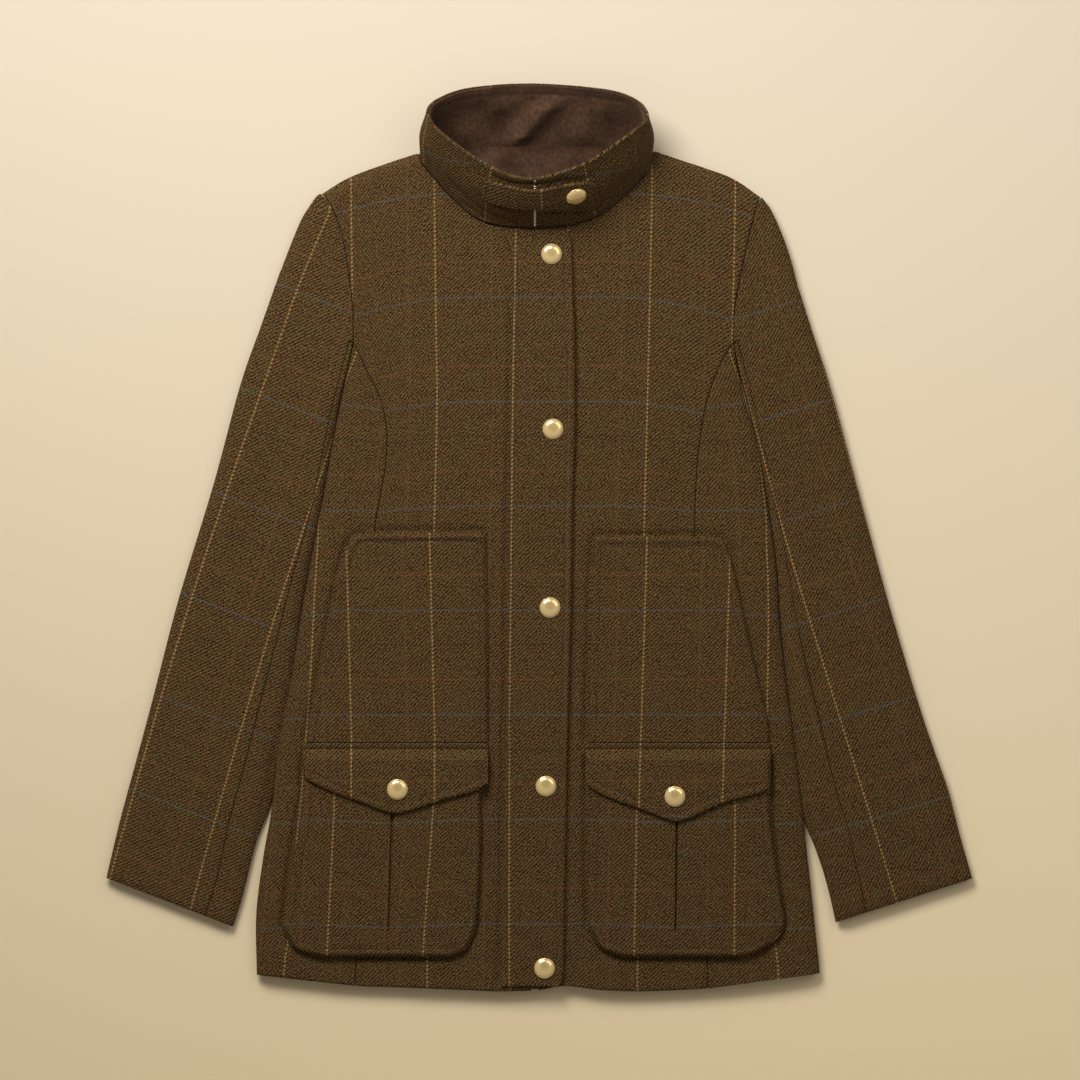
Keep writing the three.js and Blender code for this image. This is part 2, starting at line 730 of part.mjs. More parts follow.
// A point of the sleeve's outer and inner face at a distance from the inner edge, on the face up or down.
function sleevePoints(section, distance, face, dip = 0) {
  const width = Math.hypot(section.outX - section.inX, section.outY - section.inY);
  const reach = Math.min(FOLD_REACH, MAX_FOLD_SHARE * width);
  const wall = Math.min(SLEEVE_WALL, MAX_WALL_SHARE * width);
  const fromOut = clamp((width - distance) / reach, 0, 1);
  const fromIn = clamp(distance / reach, 0, 1);
  const inRise = 1 - section.inFold * (1 - Math.max(foldRise(fromIn), LEAST_FOLD));
  const rise = Math.min(foldRise(fromOut), inRise);
  const half = sleeveHeight(section) / 2;
  const inset = wall * (section.inFold * (1 - fromIn) - (1 - fromOut));
  const at = (along, height) => [
    lerp(section.inX, section.outX, along / width),
    lerp(section.inY, section.outY, along / width),
    half + face * height,
  ];
  return [
    at(distance, half * rise - dip * rise),
    at(distance + inset, (half - SLEEVE_WALL) * rise),
  ];
}
function shifted(section, by) {
  const dx = section.outX - section.inX;
  const dy = section.outY - section.inY;
  const width = Math.hypot(dx, dy);
  const sign = Math.sign(dx);
  const [moveX, moveY] = [(-sign * dy * by) / width, (sign * dx * by) / width];
  return {
    ...section,
    outX: section.outX + moveX,
    outY: section.outY + moveY,
    inX: section.inX + moveX,
    inY: section.inY + moveY,
  };
}
const widthOf = (section) => Math.hypot(section.outX - section.inX, section.outY - section.inY);

for (const side of ["right", "left"]) {
  const { below, above } = sleeveSections(side);

  // Top sleeve: from the forearm seam over the outer fold and a little way under, and the whole cap.
  const lastBelow = below.at(-1);
  const raised = { ...shifted(lastBelow, UNDERARM_STEP), seam: 0 };
  const topRows = [
    ...below.map((section) => ({ section, start: section.seam + GAP / 2, end: SLEEVE_UNDER_REACH })),
    ...[raised, ...above].map((section) => ({ section, start: 0, end: Infinity })),
  ];
  const outer = [];
  const inner = [];
  topRows.forEach(({ section, start, end }, i) => {
    const width = widthOf(section);
    const reach = Math.min(FOLD_REACH, MAX_FOLD_SHARE * width);
    const band = Math.min(SEAM_REACH, MAX_SLEEVE_BAND_SHARE * width);
    const foldPlaces = FOLD_STEPS.map((step) => width - step * reach);
    const flat = width - reach;
    const path = [
      { at: start, face: 1, dip: SEAM_DIP },
      { at: start + band, face: 1, dip: 0 },
      ...[0.33, 0.67].map((t) => ({ at: lerp(start + band, flat, t), face: 1, dip: 0 })),
      ...foldPlaces.toReversed().map((at) => ({ at, face: 1, dip: 0 })),
      ...foldPlaces.slice(1).map((at) => ({ at, face: -1, dip: 0 })),
      { at: Math.max(width - end, 0), face: -1, dip: 0 },
    ];
    const points = path.map(({ at, face, dip }) => {
      return sleevePoints(section, at, face, i === 0 && face > 0 ? SEAM_DIP : dip);
    });
    outer.push(points.map((pair) => pair[0]));
    inner.push(points.map((pair) => pair[1]));
  });
  add(`sleeve_top_${side}`, closedWall(outer, inner), TWEED);

  // Under sleeve: from the forearm seam over the inner fold and across the underside.
  const underRows = [...below.slice(0, -1), shifted(lastBelow, -GAP)];
  const underOuter = [];
  const underInner = [];
  underRows.forEach((section, i) => {
    const width = widthOf(section);
    const start = section.seam - GAP / 2;
    const foldPlaces = FOLD_STEPS.map((step) => step * Math.min(FOLD_REACH, start));
    const path = [
      ...foldPlaces.toReversed().map((at, k) => ({ at, face: 1, dip: k === 0 ? SEAM_DIP : 0 })),
      ...FOLD_STEPS.map((step) => ({ at: step * FOLD_REACH, face: -1, dip: 0 })),
      { at: width - SLEEVE_UNDER_REACH - GAP, face: -1, dip: 0 },
    ];
    const points = path.map(({ at, face, dip }) => {
      return sleevePoints(section, at, face, i === 0 && face > 0 ? SEAM_DIP : dip);
    });
    underOuter.push(points.map((pair) => pair[0]));
    underInner.push(points.map((pair) => pair[1]));
  });
  add(`sleeve_under_${side}`, closedWall(underOuter, underInner), TWEED);
}

// Collar, its facing and the tab, all from the ring's points, pushed inwards or outwards.
function ringBand(places, shares, outerDepth, innerDepth) {
  const face = (depth) => places.map((place) => {
    return shares.map((share) => collarPoint(place, share, depth).toArray());
  });
  return closedWall(face(outerDepth), face(innerDepth));
}
function spread(from, to, count) {
  return Array.from({ length: count + 1 }, (_, k) => lerp(from, to, k / count));
}
const ringStart = slitPlace(COLLAR_SLIT);
const ringPlaces = spread(ringStart, COLLAR.length - ringStart, 48);
const collarShares = [0, 0.2, 0.4, 0.6, 0.8, 1];
const facingShares = [0.01, 0.2, 0.4, 0.6, 0.8, 0.985];
const facingDepth = COLLAR_WALL + GAP;
add("collar", ringBand(ringPlaces, collarShares, 0, COLLAR_WALL), TWEED);
add("collar_facing", ringBand(ringPlaces, facingShares, facingDepth, facingDepth + FACING_WALL), LINING);
{
  const across = [0, 0.08, 0.36, 0.64, 0.92, 1];
  const face = (depth) => TAB.map((row) => across.map((t) => {
    return collarPoint(row.place, lerp(row.low, row.high, t), depth - row.lift).toArray();
  }));
  add("collar_tab", closedWall(face(-GAP - TAB_WALL), face(-GAP)), TWEED);
}

// Neck lining: the part of the coat's lining that shows inside the collar.
{
  const floor = BODY_WALL + GAP;
  const rows = (height) => NECK_LINING.map((row) => {
    return spread(row.right, row.left, 6).map((x) => [x, row.y, height]);
  });
  add("neck_lining", closedWall(rows(floor + LINING_WALL), rows(floor)), LINING);
}

// Zip: one closed strip between the fronts, and on up through the slit of the collar.
{
  const inSlit = (share) => collarPoint(0, share, ZIP_THICK);
  const alongFront = (y) => ({ y, z: ZIP_HEIGHT, half: ZIP_WIDTH / 2, lean: 0 });
  const path = [
    ...[ZIP_BOTTOM, 0, ZIP_BEND].map(alongFront),
    { y: ZIP_BEND + 8, z: ZIP_HEIGHT + 0.4, half: ZIP_IN_COLLAR / 2, lean: COLLAR_LEAN / 3 },
    ...[0.08, 0.3, 0.55, 0.8, 0.97].map((share) => {
      const { y, z } = inSlit(share);
      return { y, z, half: ZIP_IN_COLLAR / 2, lean: COLLAR_LEAN };
    }),
  ];
  const face = (side) => path.map(({ y, z, half, lean }) => [-1, 1].map((way) => [
    ZIP_MIDDLE + way * half,
    y - (side * Math.sin(lean) * ZIP_THICK) / 2,
    z + (side * Math.cos(lean) * ZIP_THICK) / 2,
  ]));
  add("zip", closedWall(face(1), face(-1)), ZIP);
}

// Placket, laid on both fronts with a raised free edge on the wearer's left.
{
  const base = BODY_HEIGHT + GAP;
  const profile = (width) => [
    { at: 0, top: LAYER - 0.7 },
    { at: 2.5, top: LAYER },
    { at: width / 2, top: LAYER },
    { at: width - 9, top: LAYER },
    { at: width - 3, top: LAYER + 0.6 },
    { at: width, top: LAYER - 0.1 },
  ];
  const face = (isTop) => PLACKET.map((row) => profile(row.right - row.left).map(({ at, top }) => {
    return [row.left + at, row.y, base + (isTop ? top : 0)];
  }));
  add("placket", closedWall(face(true), face(false)), TWEED);
}

// Upper pocket panels, laid on the fronts over the princess seams.
for (const side of ["right", "left"]) {
  const base = BODY_HEIGHT + GAP;
  const across = [0, 0.012, 0.25, 0.5, 0.75, 0.988, 1];
  const rows = POCKET_UPPER[side];
  const face = (isTop) => rows.map((row, i) => across.map((t, j) => {
    const onEdge = j === 0 || j === across.length - 1 || i === rows.length - 1;
    const top = onEdge ? LAYER - 0.6 : LAYER;
    return [lerp(row.inner, row.outer, t), row.y, base + (isTop ? top : 0)];
  }));
  add(`pocket_upper_${side}`, closedWall(face(true), face(false)), TWEED);
}

// Lower pockets: bellows that stand up from the fronts round three sides, with an inverted pleat.
for (const side of ["right", "left"]) {
  const rows = POCKET_LOWER[side];
  const outerX = through(rows, "y", "outer");
  const innerX = through(rows, "y", "inner");
  const bottom = rows[0].y;
  const pleat = PLEAT[side];
  const face = (reach, level) => {
    const bottomRows = BELLOWS_EDGE.map((step) => ({ y: bottom + step[reach], cap: step[level] }));
    const upperRows = rows.slice(1).map((row) => ({ y: row.y, cap: Infinity }));
    return [...bottomRows, ...upperRows].map(({ y, cap }) => {
      const [from, to] = [innerX(y), outerX(y)];
      const sign = Math.sign(to - from);
      const open = clamp((y - PLEAT_BOTTOM) / (PLEAT_TOP - PLEAT_BOTTOM), 0, 1);
      const pleatX = lerp(pleat.bottomX, pleat.topX, open);
      const halfOpen = lerp(0.4, pleat.open / 2, open);
      const depth = y < PLEAT_BOTTOM ? 0 : PLEAT_DEPTH;
      const flat = BELLOWS_EDGE.at(-1)[level];
      const columns = [
        ...BELLOWS_EDGE.map((step) => ({ x: from + sign * step[reach], z: step[level] })),
        { x: pleatX - sign * (halfOpen + PLEAT_SHOULDER), z: flat },
        { x: pleatX - sign * halfOpen, z: flat - depth },
        { x: pleatX + sign * halfOpen, z: flat - depth },
        { x: pleatX + sign * (halfOpen + PLEAT_SHOULDER), z: flat },
        ...BELLOWS_EDGE.toReversed().map((step) => ({ x: to - sign * step[reach], z: step[level] })),
      ];
      return columns.map(({ x, z }) => [x, y, Math.min(z, cap)]);
    });
  };
  add(`pocket_lower_${side}`, closedWall(face("outer", "top"), face("inner", "under")), TWEED);
}

// Pocket flaps: a strip sewn down above the mouth, then the pointed flap over the bellows.
for (const side of ["right", "left"]) {
  const rows = FLAP[side];
  const face = (isTop) => {
    return rows.map(({ x, y: bottom }) => {
      const step = FLAP_STEP.map(({ down, under }, k) => {
        const groove = isTop && k === 2 ? FLAP_GROOVE : 0;
        return [x, FLAP_TOP - down, under - groove + (isTop ? LAYER : 0)];
      });
      const from = FLAP_TOP - FLAP_STEP.at(-1).down;
      const rest = FLAP_REST.map((t) => {
        const edge = isTop && t === 1 ? 0.7 : 0;
        const under = FLAP_STEP.at(-1).under + FLAP_LIFT * t;
        return [x, lerp(from, bottom, t), under - edge + (isTop ? LAYER : 0)];
      });
      return [...step, ...rest];
    });
  };
  add(`pocket_flap_${side}`, closedWall(face(true), face(false)), TWEED);
}

// Domed metal snap caps.
const SNAP_PROFILE = table("radius height", [
  [0, 0],
  [0.95, 0],
  [1, 0.25],
  [0.87, 0.55],
  [0.5, 0.92],
  [0, 1],
]);
function addSnap(name, place, direction) {
  const profile = SNAP_PROFILE.map((row) => {
    return new THREE.Vector2(row.radius * SNAP_RADIUS, row.height * SNAP_HEIGHT);
  });
  const geometry = new THREE.LatheGeometry(profile, SNAP_SIDES);
  const snap = add(name, geometry, BRASS);
  snap.position.copy(place);
  snap.quaternion.setFromUnitVectors(new THREE.Vector3(0, 1, 0), direction);
}
const up = new THREE.Vector3(0, 0, 1);
PLACKET_SNAPS.forEach(({ x, y }, k) => {
  addSnap(`snap_${k + 1}`, new THREE.Vector3(x, y, BODY_HEIGHT + GAP + LAYER + SNAP_SEAT), up);
});
for (const side of ["right", "left"]) {
  const top = FLAP_STEP.at(-1).under + LAYER + FLAP_LIFT + GAP;
  addSnap(`snap_flap_${side}`, new THREE.Vector3(FLAP_SNAPS[side].x, FLAP_SNAPS[side].y, top), up);
}
{
  const { place, share, lift } = TAB_SNAP;
  const direction = collarNormal(place, share).negate();
  addSnap("snap_collar", collarPoint(place, share, -GAP - TAB_WALL - lift - SNAP_SEAT), direction);
}

export default coat;
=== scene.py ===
import math

import bpy
import numpy as np
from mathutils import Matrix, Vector
from mathutils.bvhtree import BVHTree


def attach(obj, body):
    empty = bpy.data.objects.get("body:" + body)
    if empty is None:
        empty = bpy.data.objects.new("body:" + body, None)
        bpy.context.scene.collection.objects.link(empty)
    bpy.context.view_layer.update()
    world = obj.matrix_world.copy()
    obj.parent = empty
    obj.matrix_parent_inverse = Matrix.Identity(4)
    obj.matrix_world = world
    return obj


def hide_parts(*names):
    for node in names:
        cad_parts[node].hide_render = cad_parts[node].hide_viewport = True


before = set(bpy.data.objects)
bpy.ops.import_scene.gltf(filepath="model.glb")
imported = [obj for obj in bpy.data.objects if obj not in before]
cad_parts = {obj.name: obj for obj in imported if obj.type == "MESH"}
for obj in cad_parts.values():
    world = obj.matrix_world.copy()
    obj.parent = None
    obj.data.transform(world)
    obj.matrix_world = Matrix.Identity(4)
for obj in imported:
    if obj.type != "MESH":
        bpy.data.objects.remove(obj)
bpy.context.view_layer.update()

# Camera
# It stands far off and looks straight down, so that the raised collar keeps its place over the body.
CAMERA_DISTANCE = 8.0
VIEW_WIDTH = 0.972
SENSOR = 36.0

scene = bpy.context.scene
camera_data = bpy.data.cameras.new("camera")
camera_data.sensor_width = SENSOR
camera_data.lens = SENSOR * CAMERA_DISTANCE / VIEW_WIDTH
camera_data.clip_end = 30
camera = bpy.data.objects.new("camera", camera_data)
camera.location = (0.0006, -0.0022, CAMERA_DISTANCE + 0.012)
scene.collection.objects.link(camera)
scene.camera = camera
scene.view_settings.view_transform = "Standard"


# Floor and light
# A warm floor, a broad key light from the upper left of the picture and a weak one from its right. The
# floor's colour holds painted light and shade: it is lighter towards the near edge to make up for the key
# light's falloff there, and darker on the left of the picture and lighter on its right.
def node_input(shader, name, value):
    shader.inputs[name].default_value = value


def new_material(name):
    material = bpy.data.materials.new(name)
    material.use_nodes = True
    tree = material.node_tree
    return material, tree, tree.nodes["Principled BSDF"]


# The places of the colour sockets on a Mix node
COLOUR_A, COLOUR_B, COLOUR_RESULT = 6, 7, 2
# The floor is lighter and yellower towards the near edge; the lightening there is painted light that makes
# up for the key light's falloff.
FLOOR_FAR = (0.69, 0.615, 0.505, 1)
FLOOR_NEAR_TINT_AND_PAINTED_LIGHT = (0.86, 0.71, 0.46, 1)
FLOOR_LEFT_PAINTED_SHADE = 0.9
FLOOR_RIGHT_PAINTED_LIGHT = 1.1
floor_mesh = bpy.data.meshes.new("floor")
floor_mesh.from_pydata([(-4, -4, 0), (4, -4, 0), (4, 4, 0), (-4, 4, 0)], [], [(0, 1, 2, 3)])
floor = bpy.data.objects.new("floor", floor_mesh)
floor.location.z = -0.0004
scene.collection.objects.link(floor)
floor_material, tree, shader = new_material("floor")
place = tree.nodes.new("ShaderNodeTexCoord")
separate = tree.nodes.new("ShaderNodeSeparateXYZ")
ramp = tree.nodes.new("ShaderNodeMapRange")
node_input(ramp, "From Min", -0.55)
node_input(ramp, "From Max", 0.55)
mix = tree.nodes.new("ShaderNodeMix")
mix.data_type = "RGBA"
mix.inputs[COLOUR_A].default_value = FLOOR_NEAR_TINT_AND_PAINTED_LIGHT
mix.inputs[COLOUR_B].default_value = FLOOR_FAR
tree.links.new(place.outputs["Object"], separate.inputs[0])
tree.links.new(separate.outputs["Y"], ramp.inputs["Value"])
tree.links.new(ramp.outputs["Result"], mix.inputs["Factor"])
# Painted shade and light: the floor colour is darkened on the left of the picture and lightened on its
# right.
painted_side_light = tree.nodes.new("ShaderNodeMapRange")
node_input(painted_side_light, "From Min", -0.5)
node_input(painted_side_light, "From Max", 0.5)
node_input(painted_side_light, "To Min", FLOOR_LEFT_PAINTED_SHADE)
node_input(painted_side_light, "To Max", FLOOR_RIGHT_PAINTED_LIGHT)
tree.links.new(separate.outputs["X"], painted_side_light.inputs["Value"])
scaled = tree.nodes.new("ShaderNodeVectorMath")
scaled.operation = "SCALE"
tree.links.new(mix.outputs[COLOUR_RESULT], scaled.inputs[0])
tree.links.new(painted_side_light.outputs["Result"], scaled.inputs["Scale"])
tree.links.new(scaled.outputs["Vector"], shader.inputs["Base Color"])
node_input(shader, "Roughness", 0.9)
node_input(shader, "Specular IOR Level", 0.15)
floor.data.materials.append(floor_material)


def add_light(name, place, size, power, colour):
    data = bpy.data.lights.new(name, "AREA")
    data.shape = "RECTANGLE"
    data.size, data.size_y = size
    data.energy = power
    data.color = colour
    light = bpy.data.objects.new(name, data)
    light.location = place
    light.rotation_euler = (-Vector(place)).to_track_quat("-Z", "Y").to_euler()
    scene.collection.objects.link(light)


add_light("key", (-0.6, 1.25, 1.35), (1.1, 0.8), 36, (1, 0.97, 0.92))
add_light("fill", (1.3, 1.1, 1.9), (1.6, 1.4), 9, (1, 0.97, 0.92))
# The direction of the dark place over the coat, which the polished snaps reflect
DARK_SPOT = (0.0, 0.16, 0.987)
world = bpy.data.worlds.new("world")
scene.world = world
world.use_nodes = True
tree = world.node_tree
sky = tree.nodes["Background"]
direction = tree.nodes.new("ShaderNodeTexCoord")
overhead = tree.nodes.new("ShaderNodeVectorMath")
overhead.operation = "DOT_PRODUCT"
overhead.inputs[1].default_value = DARK_SPOT
ramp = tree.nodes.new("ShaderNodeValToRGB")
ramp.color_ramp.elements[0].position = 0.95
ramp.color_ramp.elements[0].color = (1, 0.93, 0.82, 1)
ramp.color_ramp.elements[1].position = 0.985
ramp.color_ramp.elements[1].color = (0.10, 0.08, 0.05, 1)
tree.links.new(direction.outputs["Generated"], overhead.inputs[0])
tree.links.new(overhead.outputs["Value"], ramp.inputs["Fac"])
tree.links.new(ramp.outputs["Color"], sky.inputs["Color"])
node_input(sky, "Strength", 0.27)


# Front panels
# The coat's two fronts from the princess seam to the front edge, each with half of the shoulder fold.
# They are wool tweed, lined, and sewn to the side fronts and the sleeves and up to the stand collar.
MM = 0.001
GAP = 0.3
BODY_HEIGHT = 12
BODY_WALL = 4.2
MIDDLE = BODY_HEIGHT / 2
FOLD_REACH = 14
UNDERARM = 175
SIDE_FOLD_END = 150
PRINCESS_GAP = 0.2
OUTWARDS = {"right": -1, "left": 1}
FRONT_EDGE = {"right": -7.1, "left": -0.9}
SIDE_Y = [-408, -392, -340, -290, -243, -191, -135, -79, -22, 34, 90, 131, 153, 175]
SIDE_RIGHT = [-254.5, -254.5, -255, -249, -240.9, -235.3, -224.8, -216, -206.2, -195.1, -185.3, -176.9,
              -172, -167]
SIDE_LEFT = [253.6, 252.6, 247.2, 241.8, 236.6, 230.1, 222.9, 216.6, 212.8, 204.8, 194.6, 183.2, 178.3,
             174.6]
SIDES = {"right": np.c_[SIDE_Y, SIDE_RIGHT], "left": np.c_[SIDE_Y, SIDE_LEFT]}
ARMHOLES = {
    "right": [(175, -167), (205, -167.3), (240, -171.3), (271, -177.1), (298, -186.8), (309.3, -196)],
    "left": [(175, 174.6), (205, 175.6), (240, 182), (271, 188.6), (298, 195.6), (309.3, 200)],
}
SHOULDERS = {
    "right": [(-196, 309.3), (-172.2, 323.6), (-137, 337), (-110.4, 345.7)],
    "left": [(199, 306.6), (175.2, 322.7), (151.4, 332), (127.3, 340), (104, 347.9)],
}
HEM = [(-254.5, -393.8), (-215.4, -398), (-164, -403.7), (-125.4, -405), (-75.9, -407), (-35, -408.6),
       (0.6, -407.3), (23, -403.7), (54.6, -407.3), (90.6, -408.6), (144.6, -406.4), (189.6, -402.8),
       (234.6, -396.5), (252.6, -392.4)]
PRINCESS = {
    "right": [(-403.7, -166), (-190, -156), (7, -148), (61, -139), (88, -137), (103, -138), (126.5, -143.7),
              (145, -152.7), (158, -159), (171.6, -165.7)],
    "left": [(-405, 151.8), (-190, 146), (6.8, 140.1), (60.8, 141.9), (88.7, 144.9), (115.8, 149.4),
             (137.3, 155.6), (158.9, 164.4), (171.6, 172.2)],
}
TIP_Y = {"right": 309.3, "left": 306.6}


def through(points, x):
    """Smooth values at x through points that rise in x."""
    at, value = np.asarray(points, float).T
    x = np.asarray(x, float)
    slopes = np.empty(len(at))
    slopes[1:-1] = (value[2:] - value[:-2]) / (at[2:] - at[:-2])
    slopes[0] = (value[1] - value[0]) / (at[1] - at[0])
    slopes[-1] = (value[-1] - value[-2]) / (at[-1] - at[-2])
    k = np.clip(np.searchsorted(at, x) - 1, 0, len(at) - 2)
    step = at[k + 1] - at[k]
    t = np.clip((x - at[k]) / step, 0, 1)
    rise = value[k + 1] - value[k]
    curve = (1 - t) * (slopes[k] * step - rise) + t * (rise - slopes[k + 1] * step)
    return value[k] + rise * t + t * (1 - t) * curve


def side_x(side, y):
    return through(SIDES[side], y)


def armhole_x(side, y):
    return through(ARMHOLES[side], y)


def princess_x(side, y):
    return through(PRINCESS[side] + ARMHOLES[side], y)


def hem_y(x):
    return through(HEM, x)


def shoulder_y(side, x):
    return through(sorted(SHOULDERS[side]), x)


def distance_to_line(points, x, y):
    """The distance in plan from each x, y to a polyline."""
    nearest = np.full(np.shape(x), np.inf)
    for (x0, y0), (x1, y1) in zip(points[:-1], points[1:]):
        dx, dy = x1 - x0, y1 - y0
        t = np.clip(((x - x0) * dx + (y - y0) * dy) / max(dx * dx + dy * dy, 1e-9), 0, 1)
        nearest = np.minimum(nearest, np.hypot(x - x0 - dx * t, y - y0 - dy * t))
    return nearest


def fold_rise(share):
    return np.sqrt(1 - (1 - np.clip(share, 0, 1)) ** 2)


def round_drop(distance, radius, depth):
    """How far a rounded cloth edge lies below its face, at a distance in from the edge."""
    return depth * (1 - fold_rise(np.asarray(distance) / radius))


def body_fold(side, x, y):
    """Fullness from 0 on the edge of a side or shoulder fold to 1, and the insets of its inner face."""
    from_side = np.clip(np.abs(side_x(side, y) - x) / FOLD_REACH, 0, 1)
    from_shoulder = np.clip(distance_to_line(SHOULDERS[side], x, y) / FOLD_REACH, 0, 1)
    share = np.clip((UNDERARM - y) / (UNDERARM - SIDE_FOLD_END), 0, 1) * (y <= UNDERARM)
    rise = np.minimum(1 - share * (1 - fold_rise(from_side)), fold_rise(from_shoulder))
    return rise, BODY_WALL * (1 - from_side) * share, BODY_WALL * (1 - from_shoulder)


def face_height(rise):
    return GAP / 2 + (MIDDLE - GAP / 2) * rise


def inside_height(rise):
    return GAP / 2 + (MIDDLE - BODY_WALL - GAP / 2) * rise


# The stand collar's ring: x, y and z of its seam on the neck and of its top, round from the centre front
COLLAR = np.array([
    [-4, 278.5, 11.2, -4, 320.5, 63],
    [-36, 280.5, 11.2, -27, 323.5, 62.5],
    [-58, 288, 11.2, -54, 337, 61],
    [-80, 307, 11.2, -78, 353, 59],
    [-98, 328, 11.5, -97, 370, 55],
    [-108, 342, 11, -101, 384, 50],
    [-97, 348.3, 7.5, -90, 395, 42],
    [-65, 350.5, 3, -62, 404.5, 31],
    [-3, 351.2, 0.6, -6, 408.6, 21],
    [62, 350.5, 3, 60, 403, 31],
    [93, 348.5, 7.5, 88, 393, 42],
    [102, 342, 11, 98, 380, 50],
    [95, 328, 11.5, 93, 370, 55],
    [80, 310, 11.2, 75, 356, 59],
    [56, 291.5, 11.2, 46, 336.5, 61],
    [30, 281.5, 11.2, 19, 326, 62.5],
])
NECK_EDGE_GAP = 0.6


def ring_values(place):
    """Base and top points of the collar's ring at places round it."""
    count = len(COLLAR)
    wrapped = np.mod(place, count)
    k = np.floor(wrapped).astype(int) % count
    t = (wrapped - np.floor(wrapped))[..., None]
    a, b, c, d = (COLLAR[(k + n) % count] for n in (-1, 0, 1, 2))
    return b + 0.5 * t * (c - a + t * (2 * a - 5 * b + 4 * c - d + t * (3 * (b - c) + d - a)))


def collar_surface(place, share):
    ring = ring_values(place)
    share = share[..., None]
    return ring[..., :3] * (1 - share) + ring[..., 3:] * share


def collar_normal(place, share):
    """The direction into the collar."""
    along = collar_surface(place + 0.1, share) - collar_surface(place - 0.1, share)
    up = collar_surface(place, share * 0 + 1) - collar_surface(place, share * 0)
    normal = np.cross(along, up)
    return normal / np.linalg.norm(normal, axis=-1, keepdims=True)


def neck_edge(side):
    """The seam of a front on the collar, from the shoulder to the front edge."""
    ring = np.array([4.6, 4.1, 3.5, 3, 2.5, 2, 1.5, 1, 0.5]) * -OUTWARDS[side]
    inwards = collar_normal(ring, 0 * ring)[:, :2]
    inwards = inwards / np.linalg.norm(inwards, axis=-1, keepdims=True)
    on_ring = collar_surface(ring, 0 * ring)[:, :2] - NECK_EDGE_GAP * inwards
    return np.vstack([SHOULDERS[side][-1], on_ring, (FRONT_EDGE[side], COLLAR[0, 1] - NECK_EDGE_GAP)])


# Soft folds in the cloth as it lies: x, y of both ends, width and height
BODY_FOLDS = [
    (-150, 60, -120, -30, 16, -0.9),
    (-160, 200, -95, 120, 16, 0.7),
    (-120, 230, -60, 60, 18, -0.7),
    (-70, 40, -48, -60, 9, -0.7),
    (-38, 200, -40, -120, 7, -0.6),
    (150, 215, 110, 110, 16, 0.6),
    (95, 230, 70, 60, 18, -0.7),
    (38, 240, 42, -60, 7, -0.6),
    (130, 60, 120, -10, 14, -0.8),
    (-130, -60, -120, -150, 18, 0.7),
    (110, -40, 120, -150, 18, 0.6),
    (-40, -240, -42, -380, 7, -0.6),
    (38, -240, 40, -380, 7, -0.6),
    (-100, 300, -60, 240, 14, -0.6),
    (110, 300, 60, 240, 14, -0.6),
]


# The lines where pockets and placket are sewn down, which draw the cloth in beside them
SEWN_EDGES = [
    [(32.5, 262), (33.5, 190), (34.5, 100), (32, 34), (31, -46), (29, -127), (27, -200), (25, -311),
     (23, -400)],
    [(-31, 262), (-25, 215), (-26.5, 190), (-27.5, 100), (-29.5, 34), (-30.5, -46), (-31, -127), (-33, -200),
     (-35, -311), (-36.5, -400)],
    [(-46, -184), (-48, 2), (-52, 6), (-155, 6), (-168, 2), (-175, -8), (-183, -35), (-195, -100),
     (-212, -184)],
    [(41, -184), (46.5, -2), (50, 2.5), (152, 2.5), (166, -1), (172, -10), (181, -44), (191, -91),
     (209, -184)],
    [(-49, -201), (-52, -300), (-56, -350), (-66, -373), (-80, -379), (-196, -379), (-217, -374),
     (-232, -350), (-226, -299), (-214, -227), (-214, -201)],
    [(42, -201), (41.5, -300), (43, -350), (57, -373), (75, -379), (185, -379), (201, -373), (222, -349),
     (215, -299), (208, -227), (208, -201)],
]
TROUGH_DEPTH = 2.6
TROUGH_WIDTH = 2.8


def ripple(x, y):
    """The height of the soft folds and waves that all layers of the body share."""
    height = 0.35 * np.sin(x / 23.0 + y / 91.0) * np.sin(y / 47.0 + x / 160.0 + 1)
    height = height + 0.2 * np.sin(x / 13.0 - y / 37.0 + 2) * np.sin(y / 29.0)
    for x0, y0, x1, y1, width, lift in BODY_FOLDS:
        height = height + lift * np.exp(-((distance_to_line([(x0, y0), (x1, y1)], x, y) / width) ** 2))
    for line in SEWN_EDGES:
        height = height - TROUGH_DEPTH * np.exp(-((distance_to_line(line, x, y) / TROUGH_WIDTH) ** 2))
    towards_neck = np.hypot(x + 2, y - 318)
    fade = np.clip((towards_neck - 60) / 60, 0, 1)
    towards_arm = np.minimum(np.abs(x - armhole_x("right", y)), np.abs(x - armhole_x("left", y)))
    arm_fade = np.where(y > 150, np.clip(towards_arm / 20, 0, 1), 1)
    return height * fade * arm_fade


def coons(left, right, bottom, top, u, v):
    """Plan points that fit four boundary curves, each given at u or v as arrays of x and y."""
    corners = [bottom(0 * u), bottom(0 * u + 1), top(0 * u), top(0 * u + 1)]
    left, right, bottom, top = left(v), right(v), bottom(u), top(u)
    result = []
    for axis in (0, 1):
        across = left[axis] * (1 - u) + right[axis] * u
        along = bottom[axis] * (1 - v) + top[axis] * v
        low = corners[0][axis] * (1 - u) + corners[1][axis] * u
        high = corners[2][axis] * (1 - u) + corners[3][axis] * u
        result.append(across + along - low * (1 - v) - high * v)
    return result


def places(length, count, near_start, near_end):
    """Places from 0 to 1 along each length, close together near both ends and even between them."""
    length = np.atleast_1d(np.asarray(length, float))[:, None]
    start = np.asarray(near_start) / length
    end = 1 - np.asarray(near_end)[::-1] / length
    t = np.linspace(0, 1, count + 2)[1:-1]
    middle = start[:, -1:] * (1 - t) + end[:, :1] * t
    return np.hstack([start, middle, end])


EDGE = [0, 0.12, 0.4, 0.85, 1.4, 2.1, 3]
FOLD = [0, 0.12, 0.5, 1.1, 2, 3.2, 4.8, 6.8, 9.2, 12, 15]


